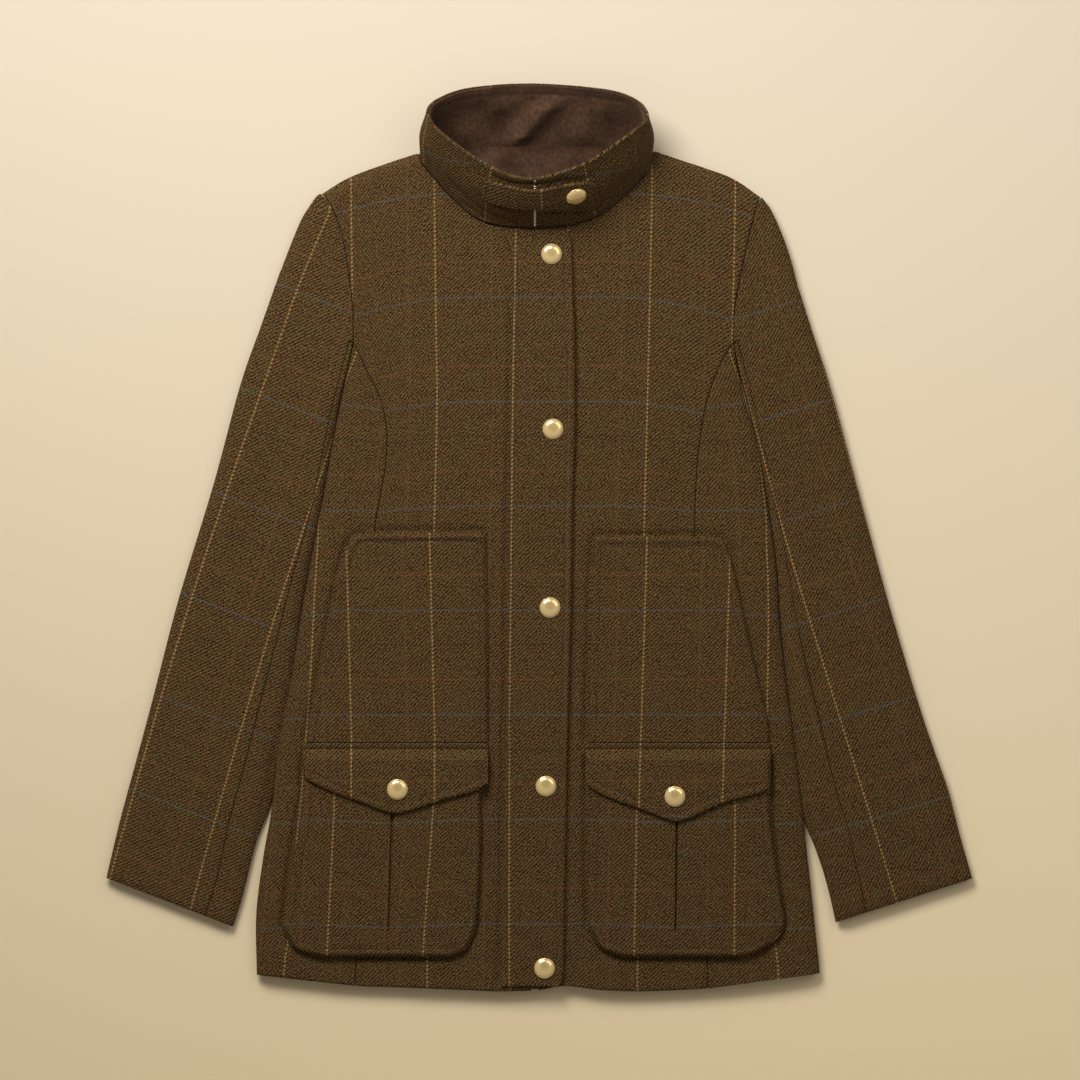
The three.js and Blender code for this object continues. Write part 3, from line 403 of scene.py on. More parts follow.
def wall_mesh(name, outer, inner, fabric):
    """A closed wall of cloth between two equal grids of points in mm, with its fabric places in mm."""
    rows, columns = outer.shape[:2]
    points = np.concatenate([outer.reshape(-1, 3), inner.reshape(-1, 3)]) * MM
    out = np.arange(rows * columns).reshape(rows, columns)
    inn = out + rows * columns

    def quads(a, b, c, d):
        return np.stack([a, b, c, d], axis=-1).reshape(-1, 4)

    faces = np.concatenate([
        quads(out[:-1, :-1], out[:-1, 1:], out[1:, 1:], out[1:, :-1]),
        quads(inn[:-1, :-1], inn[1:, :-1], inn[1:, 1:], inn[:-1, 1:]),
        quads(out[0, :-1], inn[0, :-1], inn[0, 1:], out[0, 1:]),
        quads(out[-1, 1:], inn[-1, 1:], inn[-1, :-1], out[-1, :-1]),
        quads(out[1:, 0], inn[1:, 0], inn[:-1, 0], out[:-1, 0]),
        quads(out[:-1, -1], inn[:-1, -1], inn[1:, -1], out[1:, -1]),
    ])
    a, b, c, d = (points[faces[:, k]] for k in range(4))
    volume = np.sum(a * np.cross(b, c)) + np.sum(a * np.cross(c, d))
    if volume < 0:
        faces = faces[:, ::-1]
    mesh = bpy.data.meshes.new(name)
    mesh.from_pydata(points.tolist(), [], faces.tolist())
    flat = np.concatenate([fabric.reshape(-1, 2), fabric.reshape(-1, 2)]) * MM
    corner = np.empty(len(mesh.loops), int)
    mesh.loops.foreach_get("vertex_index", corner)
    layer = mesh.uv_layers.new(name="fabric")
    layer.data.foreach_set("uv", flat[corner].ravel())
    mesh.polygons.foreach_set("use_smooth", np.ones(len(mesh.polygons), bool))
    mesh.set_sharp_from_angle(angle=math.radians(50))
    return mesh


def add_piece(mesh, material, nodes):
    """Links the mesh as a piece that rides on the coat and stands for these CAD nodes."""
    piece = bpy.data.objects.new(mesh.name, mesh)
    scene.collection.objects.link(piece)
    mesh.materials.append(material)
    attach(piece, "root")
    if nodes:
        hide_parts(*nodes)
    return piece


def new_group(name, inputs, outputs):
    """A shader node group with these sockets, each a name and a type."""
    group = bpy.data.node_groups.new(name, "ShaderNodeTree")
    for title, kind, default in inputs:
        socket = group.interface.new_socket(name=title, in_out="INPUT", socket_type=kind)
        if default is not None:
            socket.default_value = default
    for title, kind in outputs:
        group.interface.new_socket(name=title, in_out="OUTPUT", socket_type=kind)
    start = group.nodes.new("NodeGroupInput")
    end = group.nodes.new("NodeGroupOutput")
    return group, start, end


def math_node(tree, operation, *values):
    """A math node on numbers or sockets, and its result."""
    found = tree.nodes.new("ShaderNodeMath")
    found.operation = operation
    for socket, value in zip(found.inputs, values):
        if isinstance(value, (int, float)):
            socket.default_value = value
        else:
            tree.links.new(value, socket)
    return found.outputs[0]


def smooth_mask(tree, value, low, high):
    """1 where value is under low, and 0 over high."""
    found = tree.nodes.new("ShaderNodeMapRange")
    found.interpolation_type = "SMOOTHSTEP"
    tree.links.new(value, found.inputs["Value"])
    found.inputs["From Min"].default_value = low
    found.inputs["From Max"].default_value = high
    found.inputs["To Min"].default_value = 1
    found.inputs["To Max"].default_value = 0
    return found.outputs["Result"]


def noise_node(tree, vector, scale, detail, stretch=(1, 1, 1)):
    mapping = tree.nodes.new("ShaderNodeMapping")
    mapping.inputs["Scale"].default_value = stretch
    tree.links.new(vector, mapping.inputs["Vector"])
    found = tree.nodes.new("ShaderNodeTexNoise")
    found.inputs["Scale"].default_value = scale
    found.inputs["Detail"].default_value = detail
    tree.links.new(mapping.outputs["Vector"], found.inputs["Vector"])
    return found.outputs["Fac"]


# The twill weave: ribs that climb to the right, and the flecks of its mixed yarns
TWILL_PITCH = 0.0037
weave, weave_in, weave_out = new_group(
    "twill weave",
    [("Fabric", "NodeSocketVector", None)],
    [(name, "NodeSocketFloat") for name in ("Rib", "Fleck", "Mottle", "Cloud")],
)
fabric = weave_in.outputs["Fabric"]
split = weave.nodes.new("ShaderNodeSeparateXYZ")
weave.links.new(fabric, split.inputs[0])
waver = noise_node(weave, fabric, 420, 1)
across = math_node(weave, "SUBTRACT", split.outputs["X"], split.outputs["Y"])
across = math_node(weave, "MULTIPLY_ADD", waver, 0.0016, across)
phase = math_node(weave, "MULTIPLY", across, 2 * math.pi / TWILL_PITCH)
wave = math_node(weave, "SINE", phase)
rib = math_node(weave, "MULTIPLY_ADD", wave, 0.5, 0.5)
fleck = noise_node(weave, fabric, 1000, 2, (1, 0.7, 1))
mottle = noise_node(weave, fabric, 620, 2)
cloud = noise_node(weave, fabric, 90, 3)
weave.links.new(mottle, weave_out.inputs["Mottle"])
weave.links.new(rib, weave_out.inputs["Rib"])
weave.links.new(fleck, weave_out.inputs["Fleck"])
weave.links.new(cloud, weave_out.inputs["Cloud"])

# The overcheck: gold and rust yarns up the cloth, blue, green and rust yarns across it
CHECK_ACROSS = 0.075
CHECK_ALONG = 0.094
check, check_in, check_out = new_group(
    "overcheck",
    [("Fabric", "NodeSocketVector", None), ("Rib", "NodeSocketFloat", 0.5)],
    [(name, "NodeSocketFloat") for name in ("Gold", "Rust", "Blue", "Green")],
)
split = check.nodes.new("ShaderNodeSeparateXYZ")
check.links.new(check_in.outputs["Fabric"], split.inputs[0])


def yarn_line(axis, offset, repeat, half_width):
    moved = math_node(check, "ADD", split.outputs[axis], offset)
    wrapped = math_node(check, "WRAP", moved, repeat / 2, -repeat / 2)
    distance = math_node(check, "ABSOLUTE", wrapped)
    return smooth_mask(check, distance, half_width * 0.6, half_width * 1.3)


dash = smooth_mask(check, check_in.outputs["Rib"], 0.15, 0.6)
lines = {
    "Gold": [yarn_line("X", 0, CHECK_ACROSS, 0.0007)],
    "Rust": [yarn_line("X", 0.0244, CHECK_ACROSS, 0.0009), yarn_line("Y", 0.062, CHECK_ALONG, 0.0009)],
    "Blue": [yarn_line("Y", 0, CHECK_ALONG, 0.0008)],
    "Green": [yarn_line("Y", 0.031, CHECK_ALONG, 0.0008)],
}
for name, found in lines.items():
    total = found[0] if len(found) == 1 else math_node(check, "MAXIMUM", *found)
    check.links.new(math_node(check, "MULTIPLY", total, dash), check_out.inputs[name])

TWEED_DARK = (0.008, 0.0048, 0.0013, 1)
TWEED_RUST = (0.155, 0.080, 0.028, 1)
TWEED_OLIVE = (0.134, 0.081, 0.026, 1)
TWEED_FLECK = (0.30, 0.185, 0.08, 1)
YARNS = [
    ("Green", (0.008, 0.015, 0.008, 1), 0.9),
    ("Blue", (0.045, 0.088, 0.120, 1), 0.8),
    ("Rust", (0.17, 0.055, 0.022, 1), 0.5),
    ("Gold", (0.50, 0.28, 0.10, 1), 0.75),
]


def mix_colours(tree, factor, first, second):
    found = tree.nodes.new("ShaderNodeMix")
    found.data_type = "RGBA"
    for place, value in ((0, factor), (COLOUR_A, first), (COLOUR_B, second)):
        if isinstance(value, (tuple, float)):
            found.inputs[place].default_value = value
        else:
            tree.links.new(value, found.inputs[place])
    return found.outputs[COLOUR_RESULT]


tweed, tree, shader = new_material("tweed")
uv = tree.nodes.new("ShaderNodeUVMap")
uv.uv_map = "fabric"
weave_node = tree.nodes.new("ShaderNodeGroup")
weave_node.node_tree = weave
tree.links.new(uv.outputs["UV"], weave_node.inputs["Fabric"])
check_node = tree.nodes.new("ShaderNodeGroup")
check_node.node_tree = check
tree.links.new(uv.outputs["UV"], check_node.inputs["Fabric"])
tree.links.new(weave_node.outputs["Rib"], check_node.inputs["Rib"])
fleck = weave_node.outputs["Fleck"]
tone = math_node(tree, "MULTIPLY_ADD", weave_node.outputs["Rib"], 0.62, -2.18)
tone = math_node(tree, "MULTIPLY_ADD", fleck, 1.6, tone)
tone = math_node(tree, "MULTIPLY_ADD", weave_node.outputs["Mottle"], 2.6, tone)
tone = math_node(tree, "MULTIPLY_ADD", weave_node.outputs["Cloud"], 0.5, tone)
tone = math_node(tree, "MAXIMUM", math_node(tree, "MINIMUM", tone, 1.0), 0.0)
patch = smooth_mask(tree, weave_node.outputs["Cloud"], 0.6, 0.4)
light = mix_colours(tree, patch, TWEED_RUST, TWEED_OLIVE)
colour = mix_colours(tree, tone, TWEED_DARK, light)
bright = smooth_mask(tree, fleck, 0.66, 0.60)
colour = mix_colours(tree, math_node(tree, "MULTIPLY", bright, 0.35), colour, TWEED_FLECK)
for name, yarn, strength in YARNS:
    factor = math_node(tree, "MULTIPLY", check_node.outputs[name], strength)
    colour = mix_colours(tree, factor, colour, yarn)
tree.links.new(colour, shader.inputs["Base Color"])
height = math_node(tree, "MULTIPLY_ADD", fleck, 1.2, weave_node.outputs["Rib"])
bump = tree.nodes.new("ShaderNodeBump")
node_input(bump, "Strength", 0.6)
node_input(bump, "Distance", 0.0007)
tree.links.new(height, bump.inputs["Height"])
tree.links.new(bump.outputs["Normal"], shader.inputs["Normal"])
node_input(shader, "Roughness", 0.9)
node_input(shader, "Specular IOR Level", 0.15)
node_input(shader, "Sheen Weight", 0.05)
node_input(shader, "Sheen Roughness", 0.45)
node_input(shader, "Sheen Tint", (0.9, 0.72, 0.5, 1))

# Where the gold yarn nearest the middle of each front lies, and how its yarns droop at the armhole
GOLD_FRONT = {
    "right": [(-400, -101), (-92, -98.4), (6.8, -94.8), (123.8, -92.1), (186.8, -93), (311.9, -94.5)],
    "left": [(-397, 88.2), (-2.3, 94.2), (105.8, 96.9), (303.8, 101.4)],
}
BLUE_Y = 216.4
DROOP = [(-20, 0), (26, 10), (120, 18), (210, 19), (310, 14)]


def front_fabric(side, x, y):
    """Fabric places across and along the cloth of a front."""
    droop = through(DROOP, y) * (np.clip(np.abs(x) - 60, 0, None) / 110) ** 2
    return x - through(GOLD_FRONT[side], y), y - BLUE_Y + droop


for side in ("right", "left"):
    sign = OUTWARDS[side]
    seam = PRINCESS[side][0]
    seam_x = princess_x(side, seam[0]) - sign * PRINCESS_GAP
    seam_y = float(hem_y(seam_x))
    edge = FRONT_EDGE[side]
    length = TIP_Y[side] - seam_y

    def outer_x(y):
        return princess_x(side, y) - sign * PRINCESS_GAP * (y < UNDERARM)

    neck = neck_edge(side)
    neck_u = np.linspace(0.4, 1, len(neck))

    def top(u):
        first, last = SHOULDERS[side][0], SHOULDERS[side][-1]
        shoulder = first[0] + (last[0] - first[0]) * np.clip(u / 0.4, 0, 1)
        x = np.where(u < 0.4, shoulder, through(np.c_[neck_u, neck[:, 0]], u))
        y = np.where(u < 0.4, shoulder_y(side, shoulder), through(np.c_[neck_u, neck[:, 1]], u))
        return x, y

    def bottom(u):
        x = outer_x(seam_y) * (1 - u) + edge * u
        return x, hem_y(x)

    def plan(u, v):
        def left(v):
            y = seam_y + length * v
            return outer_x(y), y

        def right(v):
            return edge + 0 * v, float(hem_y(edge)) * (1 - v) + neck[-1, 1] * v

        return coons(left, right, bottom, top, u, v)

    v = places(length, 250, EDGE, FOLD)[0]
    width = np.abs(edge - outer_x(seam_y + length * v))
    u = places(width, 92, EDGE, EDGE)
    v = v[:, None] + 0 * u
    x, y = plan(u, v)
    rise, side_inset, shoulder_inset = body_fold(side, x, y)
    from_seam = u * width[:, None]
    from_edge = (1 - u) * width[:, None]
    drop = round_drop(from_seam, 2.2, 1.5) + round_drop(from_edge, 2.2, 1.2)
    drop = drop + round_drop(y - hem_y(x), 3, 2) + round_drop(distance_to_line(neck[1:], x, y), 2.5, 1.4)
    z = MIDDLE + np.maximum(face_height(rise) - drop, GAP / 2) + ripple(x, y) * rise ** 2
    outer = np.stack([x, y, z], axis=-1)
    x_in, y_in = plan(u, v - shoulder_inset / length)
    inner = np.stack([x_in, y_in, MIDDLE + inside_height(rise)], axis=-1)
    s, t = front_fabric(side, x, y)
    mesh = wall_mesh(f"front_{side}", outer, inner, np.stack([s, t], axis=-1))
    piece = add_piece(mesh, tweed, [f"front_{side}"])

# Side fronts
# The tweed panels between the princess seams and the side folds, sewn to the fronts and the back.
GOLD_SIDE = {
    "right": [(-400, -231.5), (-186.8, -211.9), (20, -200), (106.7, -190.2), (166, -165)],
    "left": [(-400, 216), (-218, 207.2), (-20, 207.2), (106, 194), (166, 172)],
}


def side_fabric(side, x, y):
    """Fabric places on a side front, whose grain turns below the armhole."""
    turn = np.clip((y - 60) / 110, 0, 1) * math.radians(18)
    s = (x - through(GOLD_SIDE[side], y)) * np.cos(turn)
    t = y - BLUE_Y - OUTWARDS[side] * (x - OUTWARDS[side] * 165) * np.sin(turn) + 4
    return s, t


for side in ("right", "left"):
    sign = OUTWARDS[side]
    seam_top = PRINCESS[side][-1][0]
    seam_x = princess_x(side, PRINCESS[side][0][0]) + sign * PRINCESS_GAP
    seam_low = float(hem_y(seam_x))
    side_low = float(hem_y(side_x(side, SIDE_Y[1])))
    v = places(seam_top - seam_low, 130, EDGE, EDGE)[0]
    to_y = seam_low + (seam_top - seam_low) * v
    from_y = side_low + (UNDERARM - GAP - side_low) * v
    from_x = side_x(side, from_y)
    to_x = princess_x(side, to_y) + sign * PRINCESS_GAP
    width = np.hypot(to_x - from_x, to_y - from_y)
    reach = np.minimum(FOLD_REACH, 0.45 * width)
    near_fold = np.array(FOLD[:-1]) / FOLD[-2] * reach[:, None]
    near_seam = width[:, None] - np.array(EDGE[::-1]) * np.minimum(1, 0.2 * width / EDGE[-1])[:, None]
    t = np.linspace(0, 1, 44)[1:-1]
    field = near_fold[:, -1:] * (1 - t) + near_seam[:, :1] * t
    distance = np.hstack([near_fold, field, near_seam])
    u = distance / width[:, None]

    def at(u):
        x = from_x[:, None] * (1 - u) + to_x[:, None] * u
        y = from_y[:, None] * (1 - u) + to_y[:, None] * u
        return x, y

    x, y = at(u)
    rise, side_inset, shoulder_inset = body_fold(side, x, y)
    drop = round_drop(width[:, None] - distance, 2.2, 1.5) + round_drop(y - hem_y(x), 3, 2)
    z = MIDDLE + np.maximum(face_height(rise) - drop, GAP / 2) + ripple(x, y) * rise ** 2
    outer = np.stack([x, y, z], axis=-1)
    inset = np.minimum(side_inset, 0.3 * (width[:, None] - distance))
    x_in, y_in = at(u + inset / width[:, None])
    inner = np.stack([x_in, y_in, MIDDLE + inside_height(rise)], axis=-1)
    steps = np.linalg.norm(np.diff(outer[:, ::-1], axis=1), axis=-1)
    arc = np.hstack([0 * steps[:, :1], np.cumsum(steps, axis=1)])[:, ::-1]
    unfolded = x[:, -1:] + (x - x[:, -1:]) * arc / np.maximum(width[:, None] - distance, 1e-6)
    s, t = side_fabric(side, unfolded, y)
    mesh = wall_mesh(f"side_front_{side}", outer, inner, np.stack([s, t], axis=-1))
    piece = add_piece(mesh, tweed, [f"side_front_{side}"])

# Back
# One tweed panel with the whole outline and the lower halves of the side and shoulder folds.
# It lies flat on the floor under the fronts and is sewn to them at the sides and the shoulders.
BACK_HEM_RISE = 2
BACK_NECK = [(-97, 345.5), (-65, 347.8), (-3, 348.6), (62, 347.8), (93, 346)]
SHOULDER_SHARE = 0.3

low = {side: float(hem_y(SIDES[side][0 if side == "right" else 1, 1])) + BACK_HEM_RISE for side in SIDES}


def back_top(u):
    """The upper edge of the back: the right shoulder, the neck, then the left shoulder."""
    right_t = np.clip(u / SHOULDER_SHARE, 0, 1)
    left_t = np.clip((1 - u) / SHOULDER_SHARE, 0, 1)
    ends = {side: (SHOULDERS[side][0][0], SHOULDERS[side][-1][0]) for side in SHOULDERS}
    x_right = ends["right"][0] + (ends["right"][1] - ends["right"][0]) * right_t
    x_left = ends["left"][0] + (ends["left"][1] - ends["left"][0]) * left_t
    neck = [(x_right.max(), float(shoulder_y("right", x_right.max())))] + BACK_NECK
    neck = neck + [(x_left.min(), float(shoulder_y("left", x_left.min())))]
    neck_u = np.linspace(SHOULDER_SHARE, 1 - SHOULDER_SHARE, len(neck))
    neck = np.array(neck)
    x = np.where(u < 0.5, x_right, x_left)
    y = np.where(u < 0.5, shoulder_y("right", x_right), shoulder_y("left", x_left))
    on_neck = (u > SHOULDER_SHARE) & (u < 1 - SHOULDER_SHARE)
    x = np.where(on_neck, np.interp(u, neck_u, neck[:, 0]), x)
    y = np.where(on_neck, np.interp(u, neck_u, neck[:, 1]), y)
    return x, y


def back_side(side):
    def edge_at(v):
        y = low[side] + (TIP_Y[side] - low[side]) * v
        return np.where(y <= UNDERARM, side_x(side, y), armhole_x(side, y)), y

    return edge_at


def back_bottom(u):
    x = side_x("right", low["right"]) * (1 - u) + side_x("left", low["left"]) * u
    return x, hem_y(x) + BACK_HEM_RISE


def back_plan(u, v):
    return coons(back_side("right"), back_side("left"), back_bottom, back_top, u, v)


back_length = TIP_Y["right"] - low["right"]
v = places(back_length, 95, EDGE, FOLD)[0]
width = back_side("left")(v)[0] - back_side("right")(v)[0]
u = places(width, 60, FOLD, FOLD)
v = v[:, None] + 0 * u
x, y = back_plan(u, v)
right_fold = body_fold("right", x, y)
left_fold = body_fold("left", x, y)
rise, side_inset, shoulder_inset = (np.where(u < 0.5, a, b) for a, b in zip(right_fold, left_fold))
outer = np.stack([x, y, MIDDLE - face_height(rise)], axis=-1)
inwards = np.where(u < 0.5, 1, -1) * side_inset / width[:, None]
x_in, y_in = back_plan(u + inwards, v - shoulder_inset / back_length)
inner = np.stack([x_in, y_in, MIDDLE - inside_height(rise)], axis=-1)
mesh = wall_mesh("back", outer, inner, np.stack([x - 1, y - BLUE_Y], axis=-1))
piece = add_piece(mesh, tweed, ["back"])

# Sleeves
# Two-piece tweed sleeves, set in at the armholes and laid flat: an upper sleeve with the forearm seam on
# its inner side, folded round the outer edge, and an under sleeve folded round the inner edge.
CAP_HEIGHT = 11.4
CUFF_HEIGHT = 10.4
SLEEVE_WALL = 3.6
ARMHOLE_GAP = 0.5
UNDER_REACH = 25
UNDERARM_STEP = 0.7
SLEEVE_FOLD_START = 100
ROWS_BELOW = 110
ROWS_ABOVE = 34
CUFF_EDGE_DROP = 1.5
SLEEVES = {
    "right": [
        (-390, -306.5, -275.7, -350.5, 27), (-378.3, -257, -265.8, -317.3, 27),
        (-364.2, -204.8, -255.9, -273.2, 28), (-347.1, -140.9, -244.6, -222.8, 27),
        (-325.2, -56.3, -228.6, -146, 24), (-293.7, 47.3, -214.4, -56.3, 16),
        (-269.4, 137.3, -198.7, 23, 10), (-250.5, 191.3, -183.6, 107.6, 6), (-233.4, 239.9, -168, 175, 4),
    ],
    "left": [
        (390, -307, 266.9, -346.5, 29), (378.4, -266.9, 259.8, -315.5, 30),
        (368.4, -227.3, 247.8, -273.2, 32), (356.1, -193, 238.8, -240.8, 31),
        (339.9, -144.5, 231.4, -187, 26), (313.8, -56.3, 220.2, -92, 15),
        (285.9, 47.3, 213.4, -10, 8), (261.6, 137.3, 202, 60, 6), (245.4, 186.8, 190.6, 115, 5),
        (233.4, 224.6, 175.6, 175, 4),
    ],
}
CAPS = {
    "right": [(205, -223.7, 264.5), (240, -214.1, 287), (271, -206.4, 299.3), (293, -201.8, 306),
              (299.5, -200, 307.9), (304.5, -198.4, 309.2), (308, -196.9, 309.5)],
    "left": [(205, 226.9, 248.9), (240, 218.9, 272.6), (271, 209.3, 293.9), (290.3, 204.6, 300.8),
             (296.8, 202.9, 303.3), (301.8, 201.4, 305.2), (305.3, 199.9, 306.4)],
}
# Gold yarn down each sleeve, and the blue yarns across it by their distance along the grain
GOLD_SLEEVE = {
    "right": [(-400, -412), (-273.2, -378.3), (-56.3, -314.4), (207.5, -224.4), (251.6, -207.3),
              (293.4, -189.3)],
    "left": [(-400, 344), (-325.4, 321.9), (-56.3, 238.8), (60, 205), (180, 172), (300, 140)],
}
GRAIN = {"right": math.radians(21), "left": math.radians(-16.5)}
BLUE_SLEEVE = {
    "right": [(-430.5, -564), (-343.1, -470), (-255.7, -376), (-161.8, -282), (-65.6, -188), (30.1, -94),
              (129, 0), (225, 94), (320, 188)],
    "left": [(-425, -564), (-328, -470), (-233, -376), (-140.8, -282), (-48, -188), (45, -94), (139, 0),
             (233, 94), (327, 188)],
}
SLEEVE_FOLDS = {
    "right": [(-225, 215, -250, 120, 14, 0.7), (-215, 120, -270, -20, 12, -0.7),
              (-255, 100, -310, -90, 14, 0.6),
              (-300, -150, -270, -210, 16, -0.7), (-330, -180, -360, -260, 16, 0.7),
              (-245, -60, -262, -140, 9, -0.6), (-195, 240, -190, 150, 9, -0.7)],
    "left": [(222, 205, 245, 120, 14, 0.7), (215, 120, 262, -20, 12, -0.7), (250, 100, 305, -90, 14, 0.6),
             (300, -150, 270, -210, 16, -0.7), (325, -180, 350, -260, 16, 0.7),
             (240, -60, 255, -140, 9, -0.6), (198, 235, 192, 150, 9, -0.7)],
}


def sleeve_ripple(side, x, y):
    height = 0.3 * np.sin(y / 31.0 + x / 60.0) * np.sin(x / 19.0 - y / 75.0)
    for x0, y0, x1, y1, width, lift in SLEEVE_FOLDS[side]:
        height = height + lift * np.exp(-((distance_to_line([(x0, y0), (x1, y1)], x, y) / width) ** 2))
    return height


def sleeve_fabric(side, x, y):
    """Fabric places on a sleeve, whose grain runs down its length."""
    turn = GRAIN[side]
    along = x * math.sin(turn) + y * math.cos(turn)
    s = (x - through(GOLD_SLEEVE[side], y)) * math.cos(turn)
    return s, through(BLUE_SLEEVE[side], along)


def sleeve_height(section):
    share = np.clip((section["out"][:, 1] + 306.5) / (TIP_Y["right"] + 306.5), 0, 1)
    return CUFF_HEIGHT + (CAP_HEIGHT - CUFF_HEIGHT) * share


def section_rows(rows, count):
    """Smooth rows of the columns outX, outY, inX, inY, seam and in_fold."""
    rows = np.asarray(rows, float)
    index = np.arange(len(rows))
    at = np.linspace(0, len(rows) - 1, count)
    found = np.stack([through(np.c_[index, rows[:, k]], at) for k in range(rows.shape[1])], axis=1)
    return {"out": found[:, :2], "in": found[:, 2:4], "seam": found[:, 4], "fold": found[:, 5]}


def shifted(section, by):
    direction = section["out"] - section["in"]
    length = np.hypot(*direction.T)[:, None]
    move = np.sign(direction[:, :1]) * by * np.c_[-direction[:, 1], direction[:, 0]] / length
    return {**section, "out": section["out"] + move, "in": section["in"] + move}


def joined(*sections):
    return {name: np.concatenate([section[name] for section in sections]) for name in sections[0]}


# How far the lower layer of each sleeve lies out towards the body, under the folds
SLEEVE_LIP = {
    "right": [(-300, 0), (-272, 4), (-240, 13), (-217, 15), (-172, 11), (-111, 7), (-56, 5), (100, 4),
              (175, 3)],
    "left": [(-300, 0), (-280, 3), (-262, 7), (-240, 8), (-187, 6), (-56, 5), (100, 5), (175, 4)],
}


def sleeve_face(side, section, distance, face, drop):
    """Points of the outer and inner face at distances from the inner edge, on the upper or lower face."""
    width = np.hypot(*(section["out"] - section["in"]).T)[:, None]
    reach = np.minimum(FOLD_REACH, 0.45 * width)
    wall = np.minimum(SLEEVE_WALL, 0.3 * width)
    from_out = np.clip((width - distance) / reach, 0, 1)
    from_in = np.clip(distance / reach, 0, 1)
    in_fold = section["fold"][:, None]
    in_rise = 1 - in_fold * (1 - np.maximum(fold_rise(from_in), 0.07))
    rise = np.minimum(fold_rise(from_out), in_rise)
    half = sleeve_height(section)[:, None] / 2
    inset = wall * (in_fold * (1 - from_in) - (1 - from_out))

    def plan(along):
        share = along / width
        near, far = section["in"], section["out"]
        return [near[:, k:k + 1] * (1 - share) + far[:, k:k + 1] * share for k in (0, 1)]

    x, y = plan(distance)
    wave = np.where(face > 0, sleeve_ripple(side, x, y) * rise ** 2, 0)
    low = 1 - (1 + face * rise) / 2
    reach_out = through(SLEEVE_LIP[side], section["in"][:, 1:]) * np.clip(1.6 * low - 0.5, 0, 1)
    lip = -reach_out * np.sqrt(1 - from_in) * (in_fold > 0)
    x, y = plan(distance + lip)
    outer = np.stack([x, y, half + face * (half - drop) * rise + wave], axis=-1)
    x_in, y_in = plan(distance + inset + lip)
    inner = np.stack([x_in, y_in, half + face * (half - SLEEVE_WALL) * rise], axis=-1)
    return outer, inner


def sleeve_mesh(name, side, section, distance, face, drop, from_first):
    """The wall of a sleeve piece, with its cloth unfolded from its first column for the fabric places."""
    outer, inner = sleeve_face(side, section, distance, face, drop)
    steps = np.linalg.norm(np.diff(outer, axis=1), axis=-1)
    arc = np.hstack([0 * steps[:, :1], np.cumsum(steps, axis=1)])
    width = np.hypot(*(section["out"] - section["in"]).T)[:, None]
    share = (distance[:, :1] + from_first * arc) / width
    x, y = (section["in"][:, k:k + 1] * (1 - share) + section["out"][:, k:k + 1] * share for k in (0, 1))
    s, t = sleeve_fabric(side, x, y)
    return wall_mesh(name, outer, inner, np.stack([s, t], axis=-1))


